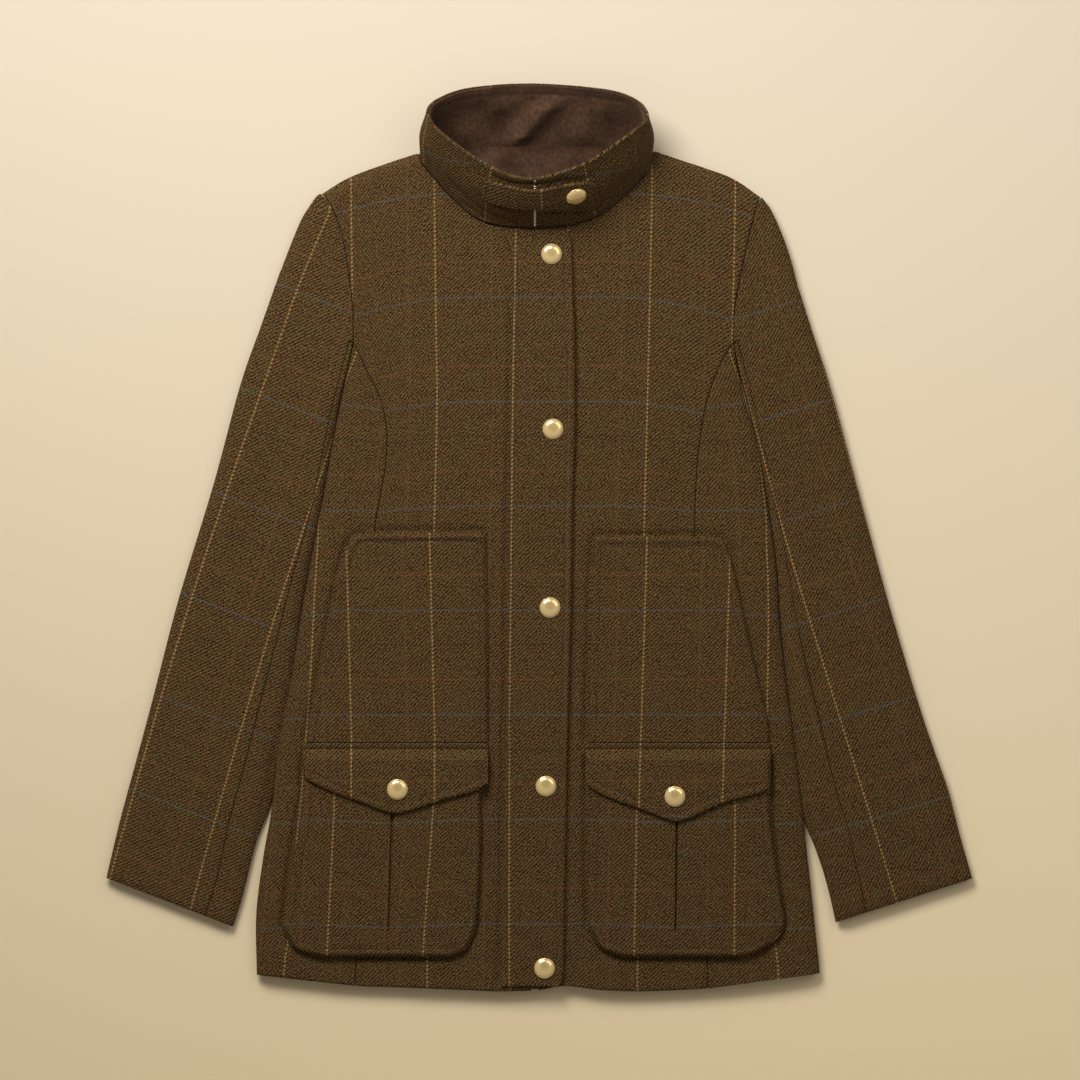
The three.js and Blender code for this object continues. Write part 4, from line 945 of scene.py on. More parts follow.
for side in ("right", "left"):
    fold_length = UNDERARM - SLEEVE_FOLD_START
    rows = [(*row, np.clip((UNDERARM - row[3]) / fold_length, 0, 1)) for row in SLEEVES[side]]
    below = section_rows(rows, ROWS_BELOW)
    caps = []
    for arm_y, out_x, out_y in CAPS[side]:
        slope = float(armhole_x(side, arm_y + 1) - armhole_x(side, arm_y - 1))
        outward = Vector((OUTWARDS[side] * 2, -slope * OUTWARDS[side])).normalized() * ARMHOLE_GAP
        caps.append((out_x, out_y, float(armhole_x(side, arm_y)) + outward.x, arm_y + outward.y, 0, 0))
    last = {name: value[-1:] for name, value in below.items()}
    raised = shifted(last, UNDERARM_STEP)
    first_cap = (*raised["out"][0], *raised["in"][0], 0, 0)
    above = section_rows([first_cap] + caps, ROWS_ABOVE)
    section = joined(below, above)
    is_below = np.r_[np.ones(ROWS_BELOW), np.zeros(ROWS_ABOVE)][:, None] > 0
    width = np.hypot(*(section["out"] - section["in"]).T)[:, None]
    reach = np.minimum(FOLD_REACH, 0.45 * width)
    start = np.where(is_below, section["seam"][:, None] + GAP / 2, 0)
    end = np.where(is_below, width - UNDER_REACH, 0)
    near_seam = start + np.array(EDGE) * np.minimum(1, 0.1 * width / EDGE[-1])
    fold = np.array(FOLD[:-1]) / FOLD[-2] * reach
    t = np.linspace(0, 1, 24)[1:-1]
    field = near_seam[:, -1:] * (1 - t) + (width - reach) * t
    under = np.maximum(end, 0)
    distance = np.hstack([near_seam, field, (width - fold)[:, ::-1], (width - fold)[:, 1:], under])
    columns = distance.shape[1]
    face = np.ones((1, columns))
    face[:, -len(FOLD) + 1:] = -1
    from_seam = np.where(face > 0, distance - start, 99)
    drop = round_drop(from_seam, 2.2, 1.5)
    drop = drop + np.where(np.arange(len(width))[:, None] == 0, CUFF_EDGE_DROP, 0) * (face > 0)
    mesh = sleeve_mesh(f"sleeve_top_{side}", side, section, distance, face, drop, 1)
    piece = add_piece(mesh, tweed, [f"sleeve_top_{side}"])

    last_low = {name: value[:-1] for name, value in below.items()}
    section = joined(last_low, shifted(last, -GAP))
    width = np.hypot(*(section["out"] - section["in"]).T)[:, None]
    start = section["seam"][:, None] - GAP / 2
    near = np.array(FOLD[:-1]) / FOLD[-2]
    upper = (near * np.minimum(FOLD_REACH, start))[:, ::-1]
    to_seam = np.linspace(0, 1, 8)[1:] * np.maximum(start - upper[:, :1], 0)
    upper = np.hstack([(upper[:, :1] + to_seam)[:, ::-1], upper])
    lower = near * FOLD_REACH + 0 * start
    t = np.linspace(0, 1, 8)[1:]
    far = FOLD_REACH * (1 - t) + (width - UNDER_REACH - GAP) * t
    distance = np.hstack([upper, lower, far])
    face = np.ones((1, distance.shape[1]))
    face[:, upper.shape[1]:] = -1
    from_seam = np.where(face > 0, start - distance, 99)
    drop = round_drop(from_seam, 2.2, 1.5)
    drop = drop + np.where(np.arange(len(width))[:, None] == 0, CUFF_EDGE_DROP, 0) * (face > 0)
    mesh = sleeve_mesh(f"sleeve_under_{side}", side, section, distance, face, drop, -1)
    piece = add_piece(mesh, tweed, [f"sleeve_under_{side}"])

# Stand collar
# A high tweed collar sewn round the neck, standing up from the laid coat and leaning back, open at the
# centre front where the zip runs up into it. Creases run across its lower corners.
COLLAR_WALL = 2.4
COLLAR_BULGE = 3
COLLAR_SLIT = 1.6
# Creases: ring place and share of the height of both ends, width in mm and depth. The first ones run
# along the edges of the tab.
COLLAR_FOLDS = [
    (1.5, 0.86, 0.1, 0.89, 2.2, 2.2),
    (0.1, 0.89, -0.9, 0.86, 2.2, 2.2),
    (-0.9, 0.86, -1.9, 0.74, 2.2, 1.8),
    (1.5, 0.42, 0.0, 0.44, 3.2, 2.4),
    (0.0, 0.44, -1.1, 0.27, 3.4, 2.4),
    (-1.1, 0.27, -1.9, 0.12, 3.0, 2.0),
    (3.0, 0.30, 0.6, 0.12, 3.5, 1.6),
    (2.4, 0.12, 0.9, 0.02, 3.0, 1.4),
    (1.9, 0.62, 0.8, 0.22, 5.0, -1.2),
    (-1.0, 0.16, -3.2, 0.34, 4.5, 1.0),
    (-2.6, 0.75, -3.6, 0.2, 8.0, -0.8),
    (4.6, 0.8, 4.0, 0.2, 8.0, 0.7),
]
PLACE_MM = 27
SHARE_MM = 62


def collar_crease(place, share):
    signed = np.where(place > 8, place - 16, place)
    depth = 0 * signed
    for p0, s0, p1, s1, width, dip in COLLAR_FOLDS:
        line = [(p0 * PLACE_MM, s0 * SHARE_MM), (p1 * PLACE_MM, s1 * SHARE_MM)]
        distance = distance_to_line(line, signed * PLACE_MM, share * SHARE_MM)
        depth = depth + dip * np.exp(-((distance / width) ** 2))
    return depth * np.clip(share / 0.06, 0, 1)


def collar_point(place, share, depth):
    place, share = np.broadcast_arrays(np.asarray(place, float), np.asarray(share, float))
    inwards = depth - COLLAR_BULGE * np.sin(np.pi * share) ** 2 + collar_crease(place, share)
    return collar_surface(place, share) + collar_normal(place, share) * np.asarray(inwards)[..., None]


def ring_arc(place, share):
    """Length in mm round the collar from its centre front."""
    fine = np.linspace(0, 16, 641)
    line = collar_surface(fine, 0 * fine + share)
    arc = np.r_[0, np.cumsum(np.linalg.norm(np.diff(line, axis=0), axis=-1))]
    return np.interp(place, fine, arc), arc[-1]


slit_place = COLLAR_SLIT / ((COLLAR[-1, 0] - COLLAR[1, 0]) / 2)
ring = np.linspace(slit_place, len(COLLAR) - slit_place, 300)
rim = [0, 0.12, 0.3, 0.55, 0.85, 1.2, 1.6, 2.2, 3]
share = places(SHARE_MM, 26, EDGE, rim)[0]
from_rim = (1 - share) * SHARE_MM
from_base = share * SHARE_MM
place_grid, share_grid = np.meshgrid(ring, share, indexing="ij")
depth = round_drop(from_rim, 1.3, 1.2) + round_drop(from_base, 2, 1.2)
outer = collar_point(place_grid, share_grid, depth[None, :] + 0 * place_grid)
inner = collar_point(place_grid, share_grid, COLLAR_WALL + 0 * place_grid)
arc, arc_total = ring_arc(place_grid, 0.6)
signed_place = np.where(place_grid > 8, place_grid - 16, place_grid)
signed_arc = np.where(place_grid > 8, arc - arc_total, arc)
blue_share = np.where(signed_place > 0, 1.45, 1.27) - 0.25 * np.abs(signed_place)
s = np.where(signed_place > 0, -signed_arc + 118, -signed_arc - 50)
fabric = np.stack([s, (share_grid - blue_share) * SHARE_MM], axis=-1)
mesh = wall_mesh("collar", outer, inner, fabric)
piece = add_piece(mesh, tweed, ["collar"])

# Collar facing
# The brushed brown lining cloth inside the stand collar, seamed to a narrow strip below the rim.
FACING_WALL = 1.5
FACING_SEAM = 8.5
LINING_BASE = (0.024, 0.010, 0.005, 1)
LINING_NAP = (0.085, 0.042, 0.022, 1)

lining, tree, shader = new_material("brushed lining")
uv = tree.nodes.new("ShaderNodeUVMap")
uv.uv_map = "fabric"
nap = noise_node(tree, uv.outputs["UV"], 300, 4, (1, 0.8, 1))
patches = noise_node(tree, uv.outputs["UV"], 38, 2)
tone = math_node(tree, "MULTIPLY", nap, patches)
tone = math_node(tree, "MULTIPLY_ADD", tone, 3.2, -0.3)
tree.links.new(mix_colours(tree, tone, LINING_BASE, LINING_NAP), shader.inputs["Base Color"])
bump = tree.nodes.new("ShaderNodeBump")
node_input(bump, "Strength", 0.3)
node_input(bump, "Distance", 0.0003)
tree.links.new(nap, bump.inputs["Height"])
tree.links.new(bump.outputs["Normal"], shader.inputs["Normal"])
node_input(shader, "Roughness", 0.8)
node_input(shader, "Specular IOR Level", 0.2)
node_input(shader, "Sheen Weight", 0.35)
node_input(shader, "Sheen Roughness", 0.4)
node_input(shader, "Sheen Tint", (0.9, 0.62, 0.5, 1))

# Soft folds inside the back of the collar: x, y of both ends, width and height
FACING_FOLDS = [
    (18, 400, -38, 340, 8, 9.5),
    (-28, 398, -66, 366, 10, 3.5),
    (60, 396, 20, 340, 13, 3),
    (-52, 384, -76, 350, 9, -2),
]
facing_share = places(SHARE_MM, 34, EDGE, rim)[0] * 0.975 + 0.01
place_grid, share_grid = np.meshgrid(ring, facing_share, indexing="ij")
from_rim = (0.985 - share_grid) * SHARE_MM
first = COLLAR_WALL + GAP
signed_place = np.where(place_grid > 8, place_grid - 16, place_grid)
face = collar_surface(place_grid, share_grid)
swell = 0 * share_grid
for x0, y0, x1, y1, width, lift in FACING_FOLDS:
    distance = distance_to_line([(x0, y0), (x1, y1)], face[..., 0], face[..., 1])
    swell = swell + lift * np.exp(-((distance / width) ** 2))
at_back = np.clip((np.minimum(place_grid, 16 - place_grid) - 4.6) / 1.2, 0, 1)
swell = swell * at_back * np.clip((from_rim - 9) / 12, 0, 1) * np.clip(share_grid / 0.22, 0, 1)
seam = 0.8 * np.exp(-(((from_rim - FACING_SEAM) / 0.9) ** 2))
depth = first + FACING_WALL - round_drop(from_rim, 1, 0.9) - seam + swell
inner = collar_point(place_grid, share_grid, depth)
outer = collar_point(place_grid, share_grid, first + 0 * place_grid)
arc, arc_total = ring_arc(place_grid, 0.6)
mesh = wall_mesh("collar_facing", inner, outer, np.stack([arc, share_grid * SHARE_MM], axis=-1))
piece = add_piece(mesh, lining, ["collar_facing"])

# Neck lining
# The part of the brown lining that shows at the bottom of the neck opening, on the inside of the back.
NECK_LINING = [(250, -104, 98), (275, -104, 98), (300, -104, 98), (325, -104, 98), (338, -100, 94),
               (347.5, -90, 84)]
LINING_WALL = 1.5
LINING_TOP = 352
low_z = BODY_WALL + GAP
rows = np.array(NECK_LINING)
y = np.linspace(rows[0, 0], LINING_TOP, 64)[:, None]
right = np.interp(y, rows[:, 0], rows[:, 1])
left = np.interp(y, rows[:, 0], rows[:, 2])
u = np.linspace(0, 1, 90)[None, :]
x = right * (1 - u) + left * u
y = y + 0 * x
wave = 3.5 * np.exp(-((distance_to_line([(-30, 352), (-62, 300)], x, y) / 10) ** 2))
turned_up = 1.6 * np.clip((y - 343) / 9, 0, 1) ** 2
outer = np.stack([x, y, low_z + LINING_WALL + wave + turned_up], axis=-1)
inner = np.stack([x, y, low_z + turned_up], axis=-1)
mesh = wall_mesh("neck_lining", outer, inner, np.stack([x, y], axis=-1))
piece = add_piece(mesh, lining, ["neck_lining"])

# Collar tab
# A tweed strap over the zip at the collar, sewn down on the wearer's right and snapped on the left.
TAB_WALL = 2.5
TAB_WIDTH = 31
TAB = np.array([
    [1.72, 0.46, 0.79, 0.3], [1.4, 0.46, 0.82, 0.8], [0.95, 0.49, 0.86, 1.6], [0.4, 0.5, 0.86, 2.4],
    [0, 0.5, 0.85, 2.6], [-0.6, 0.43, 0.845, 2.2], [-1.1, 0.33, 0.81, 1.2], [-1.5, 0.235, 0.765, 0.6],
    [-1.8, 0.18, 0.71, 0.4], [-1.97, 0.24, 0.62, 0.4],
])
index = np.arange(len(TAB))
at = np.r_[0, 0.02, 0.06, np.linspace(0.12, len(TAB) - 2, 90)[:-1], np.linspace(8, 9, 14)]
tab = np.stack([through(np.c_[index, TAB[:, k]], at) for k in range(4)], axis=1)
across = places(TAB_WIDTH, 16, EDGE, EDGE)[0]
place_grid = tab[:, :1] + 0 * across
share_grid = tab[:, 1:2] * (1 - across) + tab[:, 2:3] * across
width = (tab[:, 2:3] - tab[:, 1:2]) * SHARE_MM
from_long = np.minimum(across, 1 - across) * width
arc, arc_total = ring_arc(np.mod(place_grid, 16), 0.5)
along = -np.where(np.mod(place_grid, 16) > 8, arc - arc_total, arc)
from_end = np.minimum(along - along.min(), along.max() - along)
from_edge = np.minimum(from_long, from_end)
groove = 0.35 * np.exp(-(((from_edge - 3) / 0.6) ** 2))
lift = TAB_WALL - round_drop(from_edge, 1.4, 1.2) - groove


def tab_point(depth):
    crease = collar_crease(np.mod(place_grid, 16), share_grid)
    return collar_point(place_grid, share_grid, depth - tab[:, 3:4] - crease)


outer = tab_point(-GAP - lift)
inner = tab_point(-GAP + 0 * lift)
mesh = wall_mesh("collar_tab", outer, inner, np.stack([along - 6, share_grid * SHARE_MM + 20], axis=-1))
piece = add_piece(mesh, tweed, ["collar_tab"])

# Small pieces in a row along a line, each turned along it: stitches here, and teeth on the zip
THREAD_COLOUR = (0.030, 0.017, 0.006, 1)
TAB_SEAM = 3
STITCH_LIFT = 0.12
STITCH = {"Pitch": 0.0034, "Size": (0.00034, 0.00034, 0.0013), "Seed": 7}
thread, tree, shader = new_material("sewing thread")
node_input(shader, "Base Color", THREAD_COLOUR)
node_input(shader, "Roughness", 0.7)

row_tree = bpy.data.node_groups.new("row of small pieces", "GeometryNodeTree")
row_tree.interface.new_socket(name="Line", in_out="INPUT", socket_type="NodeSocketGeometry")
ROW_SOCKETS = {
    name: row_tree.interface.new_socket(name=name, in_out="INPUT", socket_type=kind).identifier
    for name, kind in (
        ("Pitch", "NodeSocketFloat"),
        ("Size", "NodeSocketVector"),
        ("Seed", "NodeSocketInt"),
        ("Material", "NodeSocketMaterial"),
    )
}
row_tree.interface.new_socket(name="Pieces", in_out="OUTPUT", socket_type="NodeSocketGeometry")
row_in = row_tree.nodes.new("NodeGroupInput")
row_out = row_tree.nodes.new("NodeGroupOutput")
to_curve = row_tree.nodes.new("GeometryNodeMeshToCurve")
resample = row_tree.nodes.new("GeometryNodeResampleCurve")
resample.mode = "LENGTH"
ball = row_tree.nodes.new("GeometryNodeMeshUVSphere")
node_input(ball, "Segments", 8)
node_input(ball, "Rings", 5)
node_input(ball, "Radius", 1.0)
tangent = row_tree.nodes.new("GeometryNodeInputTangent")
align = row_tree.nodes.new("FunctionNodeAlignRotationToVector")
align.axis = "Z"
vary = row_tree.nodes.new("FunctionNodeRandomValue")
vary.data_type = "FLOAT"
vary.inputs[2].default_value = 0.88
vary.inputs[3].default_value = 1.08
scaled = row_tree.nodes.new("ShaderNodeVectorMath")
scaled.operation = "SCALE"
copies = row_tree.nodes.new("GeometryNodeInstanceOnPoints")
realize = row_tree.nodes.new("GeometryNodeRealizeInstances")
paint = row_tree.nodes.new("GeometryNodeSetMaterial")
for source, target in (
    (row_in.outputs["Line"], to_curve.inputs["Mesh"]),
    (to_curve.outputs["Curve"], resample.inputs["Curve"]),
    (row_in.outputs["Pitch"], resample.inputs["Length"]),
    (resample.outputs["Curve"], copies.inputs["Points"]),
    (ball.outputs["Mesh"], copies.inputs["Instance"]),
    (tangent.outputs["Tangent"], align.inputs["Vector"]),
    (align.outputs["Rotation"], copies.inputs["Rotation"]),
    (row_in.outputs["Seed"], vary.inputs["Seed"]),
    (row_in.outputs["Size"], scaled.inputs[0]),
    (vary.outputs[1], scaled.inputs["Scale"]),
    (scaled.outputs["Vector"], copies.inputs["Scale"]),
    (copies.outputs["Instances"], realize.inputs["Geometry"]),
    (realize.outputs["Geometry"], paint.inputs["Geometry"]),
    (row_in.outputs["Material"], paint.inputs["Material"]),
    (paint.outputs["Geometry"], row_out.inputs["Pieces"]),
):
    row_tree.links.new(source, target)


def add_rows(name, lines, values, material):
    """Rows of small pieces along lines of points in mm, as one piece that rides on the coat."""
    points = np.concatenate([np.asarray(line, float) for line in lines]) * MM
    edges = []
    first = 0
    for line in lines:
        edges.extend((first + k, first + k + 1) for k in range(len(line) - 1))
        first += len(line)
    mesh = bpy.data.meshes.new(name)
    mesh.from_pydata(points.tolist(), edges, [])
    rows = bpy.data.objects.new(name, mesh)
    scene.collection.objects.link(rows)
    modifier = rows.modifiers.new("rows", "NODES")
    modifier.node_group = row_tree
    for title, value in values.items():
        modifier[ROW_SOCKETS[title]] = value
    modifier[ROW_SOCKETS["Material"]] = material
    evaluated = rows.evaluated_get(bpy.context.evaluated_depsgraph_get())
    made = bpy.data.meshes.new_from_object(evaluated)
    rows.modifiers.clear()
    rows.data = made
    made.polygons.foreach_set("use_smooth", np.ones(len(made.polygons), bool))
    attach(rows, "root")


near_low = int(np.argmin(np.abs(across * np.median(width) - TAB_SEAM)))
near_high = int(np.argmin(np.abs((1 - across) * np.median(width) - TAB_SEAM)))
past_seam = from_end[:, 8] > TAB_SEAM
inside = slice(int(np.argmax(past_seam)), len(along) - int(np.argmax(past_seam[::-1])))
raised_tab = tab_point(-GAP - lift - STITCH_LIFT)
low_row, high_row = raised_tab[inside, near_low], raised_tab[inside, near_high]
box = [low_row[::-1], raised_tab[inside, near_low:near_high + 1][0], high_row]
box.append(raised_tab[inside, near_low:near_high + 1][-1][::-1])
add_rows("tab_stitches", [np.concatenate(box)], STITCH, thread)

# Placket
# The tweed storm placket over the zip, sewn down along the wearer's right edge, with a raised free edge
# on the left that the snaps hold closed.
LAYER = 3
BASE = BODY_HEIGHT + GAP
PLACKET = np.array([
    (-404, -33.5, 17.5), (-401, -35, 20), (-390, -34.6, 22), (-311, -33.2, 23.1), (-200, -31.6, 25.2),
    (-127, -29.2, 27.2), (-46, -28.8, 29.3), (34, -27.8, 30.3), (100, -25.6, 32.5), (190, -24.6, 32.1),
    (215, -22.5, 30.4), (255, -25, 29.2), (268, -29.3, 28.4), (277, -31.5, 24),
])
# The rows of stitches inside the free edge and the sewn edge
FREE_SEAM = 7.5
SEWN_SEAM = 4
GOLD_PLACKET = [(-400, -27), (-200, -27), (0, -25), (120, -24), (280, -21)]


def plan_grid(y, low_x, high_x, columns, near):
    """Plan points of a panel in rows at y, from low_x to high_x."""
    width = np.abs(high_x - low_x)
    u = places(width, columns, near, near)
    x = low_x[:, None] * (1 - u) + high_x[:, None] * u
    return x, y[:, None] + 0 * x


def outline_distance(low_x, high_x, y, x_grid, y_grid, closed=(True, True)):
    """Distance of plan points from the outline that these edges make; closed says which ends count."""
    lines = [list(zip(low_x, y)), list(zip(high_x, y))]
    if closed[0]:
        lines.append([(low_x[0], y[0]), (high_x[0], y[0])])
    if closed[1]:
        lines.append([(low_x[-1], y[-1]), (high_x[-1], y[-1])])
    found = [distance_to_line(line[::2] + line[-1:], x_grid, y_grid) for line in lines]
    return np.minimum.reduce(found)


placket_length = PLACKET[-1, 0] - PLACKET[0, 0]
y = PLACKET[0, 0] + placket_length * places(placket_length, 190, EDGE, EDGE)[0]
low_x = through(PLACKET[:, [0, 1]], y)
high_x = through(PLACKET[:, [0, 2]], y)
x, y_grid = plan_grid(y, low_x, high_x, 18, EDGE)
from_edge = outline_distance(low_x, high_x, y, x, y_grid)
from_free = high_x[:, None] - x
from_sewn = x - low_x[:, None]
lift = LAYER + 0.9 * np.exp(-((from_free / 7) ** 2)) - 0.5 * np.exp(-(((from_free - FREE_SEAM) / 0.9) ** 2))
lift = lift - 0.35 * np.exp(-(((from_sewn - SEWN_SEAM) / 0.9) ** 2)) - round_drop(from_edge, 1.7, 1.5)
outer = np.stack([x, y_grid, BASE + lift + ripple(x, y_grid)], axis=-1)
inner = np.stack([x, y_grid, BASE + ripple(x, y_grid)], axis=-1)
fabric = np.stack([x - through(GOLD_PLACKET, y_grid), y_grid - BLUE_Y], axis=-1)
mesh = wall_mesh("placket", outer, inner, fabric)
piece = add_piece(mesh, tweed, ["placket"])


def on_cloth(mesh, line):
    """The points of a plan line in mm, dropped on the upper side of a mesh."""
    tree = BVHTree.FromPolygons([v.co for v in mesh.vertices], [p.vertices for p in mesh.polygons])
    found = []
    for x, y in line:
        hit = tree.ray_cast(Vector((x * MM, y * MM, 1)), Vector((0, 0, -1)))[0]
        if hit is not None:
            found.append((x, y, hit.z / MM + STITCH_LIFT))
    return found


rows = slice(8, -8, 2)
free_line = np.c_[high_x - FREE_SEAM, y][rows]
sewn_line = np.c_[low_x + SEWN_SEAM, y][rows]
add_rows("placket_stitches", [on_cloth(mesh, free_line), on_cloth(mesh, sewn_line)], STITCH, thread)

# Upper pockets
# Flat tweed patches with a welt folded along their top edge, sewn on the fronts over the princess seams.
POCKET_UPPER = {
    "right": [(-184, -210.2, -45.6), (-158.9, -206.4, -45.8), (-99.5, -192, -46), (-65.9, -186.3, -46.3),
              (-35.4, -180.6, -46.6), (-14.5, -175, -47.2), (-8, -173, -47.4), (-3.2, -170.6, -47.6),
              (0.5, -166.8, -47.9), (2.9, -162, -48), (4.1, -155, -48.1)],
    "left": [(-184, 207.2, 42.7), (-167, 206.4, 43.3), (-131.9, 198.6, 44.6), (-91.4, 188.7, 45.7),
             (-43.7, 178.8, 47), (-15, 171.4, 48.1), (-8, 169.4, 48.3), (-4, 166.8, 48.5),
             (-1.6, 163, 48.7), (-0.2, 158.5, 48.8), (0.5, 152, 48.9)],
}
GOLD_UPPER = {
    "right": [(-218, -93), (26, -99.5)],
    "left": [(-218, 90.3), (-2, 96.9)],
}
WELT = 7.6
SIDE_RELIEF = 0.45


def rolled_edge(distance, width):
    """The relief of a rolled edge with a sewn groove at this width inside it."""
    roll = 1.1 * np.exp(-(((distance - 0.42 * width) / (0.36 * width)) ** 2))
    return roll - 1.3 * np.exp(-(((distance - width) / 1.15) ** 2))


def inset_line(outline, width):
    """The line this far inside an open outline of plan points, where it stays that far from all of it."""
    outline = np.asarray(outline, float)
    direction = np.gradient(outline, axis=0)
    normal = np.c_[-direction[:, 1], direction[:, 0]] / np.linalg.norm(direction, axis=1)[:, None]
    middle = outline.mean(axis=0)
    normal = normal * np.sign(np.sum(normal * (middle - outline)) or 1)
    moved = outline + normal * width
    clear = distance_to_line([tuple(point) for point in outline], moved[:, 0], moved[:, 1])
    return moved[clear > width * 0.97]


for side in ("right", "left"):
    rows = np.array(POCKET_UPPER[side])
    y = rows[0, 0] + (rows[-1, 0] - rows[0, 0]) * places(rows[-1, 0] - rows[0, 0], 90, EDGE, EDGE)[0]
    low_x = through(rows[:, [0, 2]], y)
    high_x = through(rows[:, [0, 1]], y)
    x, y_grid = plan_grid(y, low_x, high_x, 60, EDGE)
    from_edge = outline_distance(low_x, high_x, y, x, y_grid, (False, True))
    near_top = np.clip((y_grid - (rows[-1, 0] - 40)) / 30, 0, 1)
    strength = SIDE_RELIEF + (1 - SIDE_RELIEF) * near_top
    lift = LAYER + strength * rolled_edge(from_edge, WELT) - round_drop(from_edge, 2.6, 2.8)
    outer = np.stack([x, y_grid, BASE + lift + ripple(x, y_grid)], axis=-1)
    inner = np.stack([x, y_grid, BASE + ripple(x, y_grid)], axis=-1)
    fabric = np.stack([x - through(GOLD_UPPER[side], y_grid), y_grid - BLUE_Y], axis=-1)
    mesh = wall_mesh(f"pocket_upper_{side}", outer, inner, fabric)
    piece = add_piece(mesh, tweed, [f"pocket_upper_{side}"])
    inset = inset_line(list(zip(high_x, y)) + list(zip(low_x, y))[::-1], WELT)
    add_rows(f"pocket_upper_{side}_stitches", [on_cloth(mesh, inset)], STITCH, thread)

# Lower pockets
# Tweed bellows pockets that stand up from the fronts round three sides, with an inverted pleat down the
# middle and a row of stitching inside their edge.
POCKET_LOWER = {
    "right": [(-377, -196, -80), (-371.8, -216.3, -67), (-362.3, -225.3, -61), (-349, -230.8, -56.7),
              (-330.5, -228.6, -55.3), (-299, -223.5, -53.4), (-263, -216.3, -52.6), (-227, -212.7, -53.4),
              (-201, -211.8, -50)],
    "left": [(-377, 185, 75), (-371, 200, 58), (-364, 212.5, 50.5), (-349, 220.7, 44.6),
             (-323.6, 217.5, 43), (-299, 213.8, 43.6), (-263, 209, 44.8), (-227, 206, 46), (-201, 206, 44)],
}
BELLOWS_TOP = 18
BELLOWS_UNDER = 15.5
BELLOWS_FOOT = 12.3
PLEAT = {"right": (-132, -135.6, 3.5), "left": (124, 122.6, 2)}
PLEAT_TOP = -240
PLEAT_BOTTOM = -353
PLEAT_DEPTH = 3.4
BORDER = 8
GOLD_LOWER = {
    "right": [(-372, -104.5, -190.8), (-244, -95.5, -184.5)],
    "left": [(-365, 85.5, 175.5), (-260, 87.4, 176)],
}
for side in ("right", "left"):
    rows = np.array(POCKET_LOWER[side])
    rise_y = rows[-1, 0] - rows[0, 0]
    y = rows[0, 0] + rise_y * places(rise_y, 84, EDGE + [4.2, 5.6], EDGE)[0]
    low_x = through(rows[:, [0, 2]], y)
    high_x = through(rows[:, [0, 1]], y)
    sign = OUTWARDS[side]
    top_x, bottom_x, opening = PLEAT[side]
    share = np.clip((y - PLEAT_BOTTOM) / (PLEAT_TOP - PLEAT_BOTTOM), 0, 1)
    pleat_x = bottom_x + (top_x - bottom_x) * share
    half = 0.5 + (opening / 2 - 0.5) * share
    near = np.r_[EDGE, 4.2, 5.6]
    lip = np.array([0, 0.15, 0.4, 0.8, 1.4, 2.2])
    first = places(np.abs(pleat_x - half * sign - low_x), 20, near, lip)
    last = places(np.abs(high_x - pleat_x - half * sign), 20, lip, near)
    lip_low = (pleat_x - half * sign)[:, None]
    lip_high = (pleat_x + half * sign)[:, None]
    zone_first = low_x[:, None] * (1 - first) + lip_low * first
    zone_slit = pleat_x[:, None] + half[:, None] * sign * np.array([-0.9, -0.8, -0.3, 0, 0.3, 0.8, 0.9])
    zone_last = lip_high * (1 - last) + high_x[:, None] * last
    x = np.hstack([zone_first, zone_slit, zone_last])
    in_slit = np.r_[np.zeros(first.shape[1]), np.ones(7), np.zeros(last.shape[1])][None, :]
    y_grid = y[:, None] + 0 * x
    from_edge = outline_distance(low_x, high_x, y, x, y_grid, (True, False))
    from_slit = np.abs(x - pleat_x[:, None]) - half[:, None]
    ends = np.clip((y_grid - PLEAT_BOTTOM + 3) / 3, 0, 1)
    depth = np.where(in_slit > 0, PLEAT_DEPTH, round_drop(np.maximum(from_slit, 0), 1.6, 1)) * ends
    top_z = BELLOWS_TOP - round_drop(from_edge, 2.8, 2.6) - depth
    top_z = top_z + 0.6 * rolled_edge(from_edge, BORDER)
    under_z = BELLOWS_UNDER + 0 * x - np.where(in_slit > 0, PLEAT_DEPTH - 1, 0) * ends
    wave = ripple(x, y_grid)
    outer = np.stack([x, y_grid, top_z + wave], axis=-1)
    middle_x = (low_x + high_x)[:, None] / 2
    shrink = 1 - 2.5 / (np.abs(high_x - low_x)[:, None] / 2)
    x_in = middle_x + (x - middle_x) * shrink
    y_in = rows[-1, 0] + (y_grid - rows[-1, 0]) * (1 - 2.5 / rise_y)
    inner = np.stack([x_in, y_in, under_z + wave], axis=-1)
    foot_out = outer.copy()
    foot_out[..., 2] = BELLOWS_FOOT + wave
    foot_in = inner.copy()
    foot_in[..., 2] = BELLOWS_FOOT + wave

    def skirted(grid, foot):
        grid = np.concatenate([foot[:1], grid], axis=0)
        foot = np.concatenate([foot[:1], foot], axis=0)
        return np.concatenate([foot[:, :1], grid, foot[:, -1:]], axis=1)

    near_gold, far_gold = (
        through([(row[0], row[k]) for row in GOLD_LOWER[side]], y_grid) for k in (1, 2)
    )
    past = (x - pleat_x[:, None]) * sign > 0
    s = x - np.where(past, far_gold, near_gold)
    sag = 3 * np.exp(-(((x - pleat_x[:, None]) / 45) ** 2))
    fabric = np.stack([s, y_grid - BLUE_Y + sag], axis=-1)
    fabric = np.concatenate([fabric[:1], fabric], axis=0)
    fabric = np.concatenate([fabric[:, :1], fabric, fabric[:, -1:]], axis=1)
    mesh = wall_mesh(f"pocket_lower_{side}", skirted(outer, foot_out), skirted(inner, foot_in), fabric)
    piece = add_piece(mesh, tweed, [f"pocket_lower_{side}"])
    inset = inset_line(list(zip(high_x, y))[::-1] + list(zip(low_x, y)), BORDER)
    add_rows(f"pocket_lower_{side}_stitches", [on_cloth(mesh, inset)], STITCH, thread)

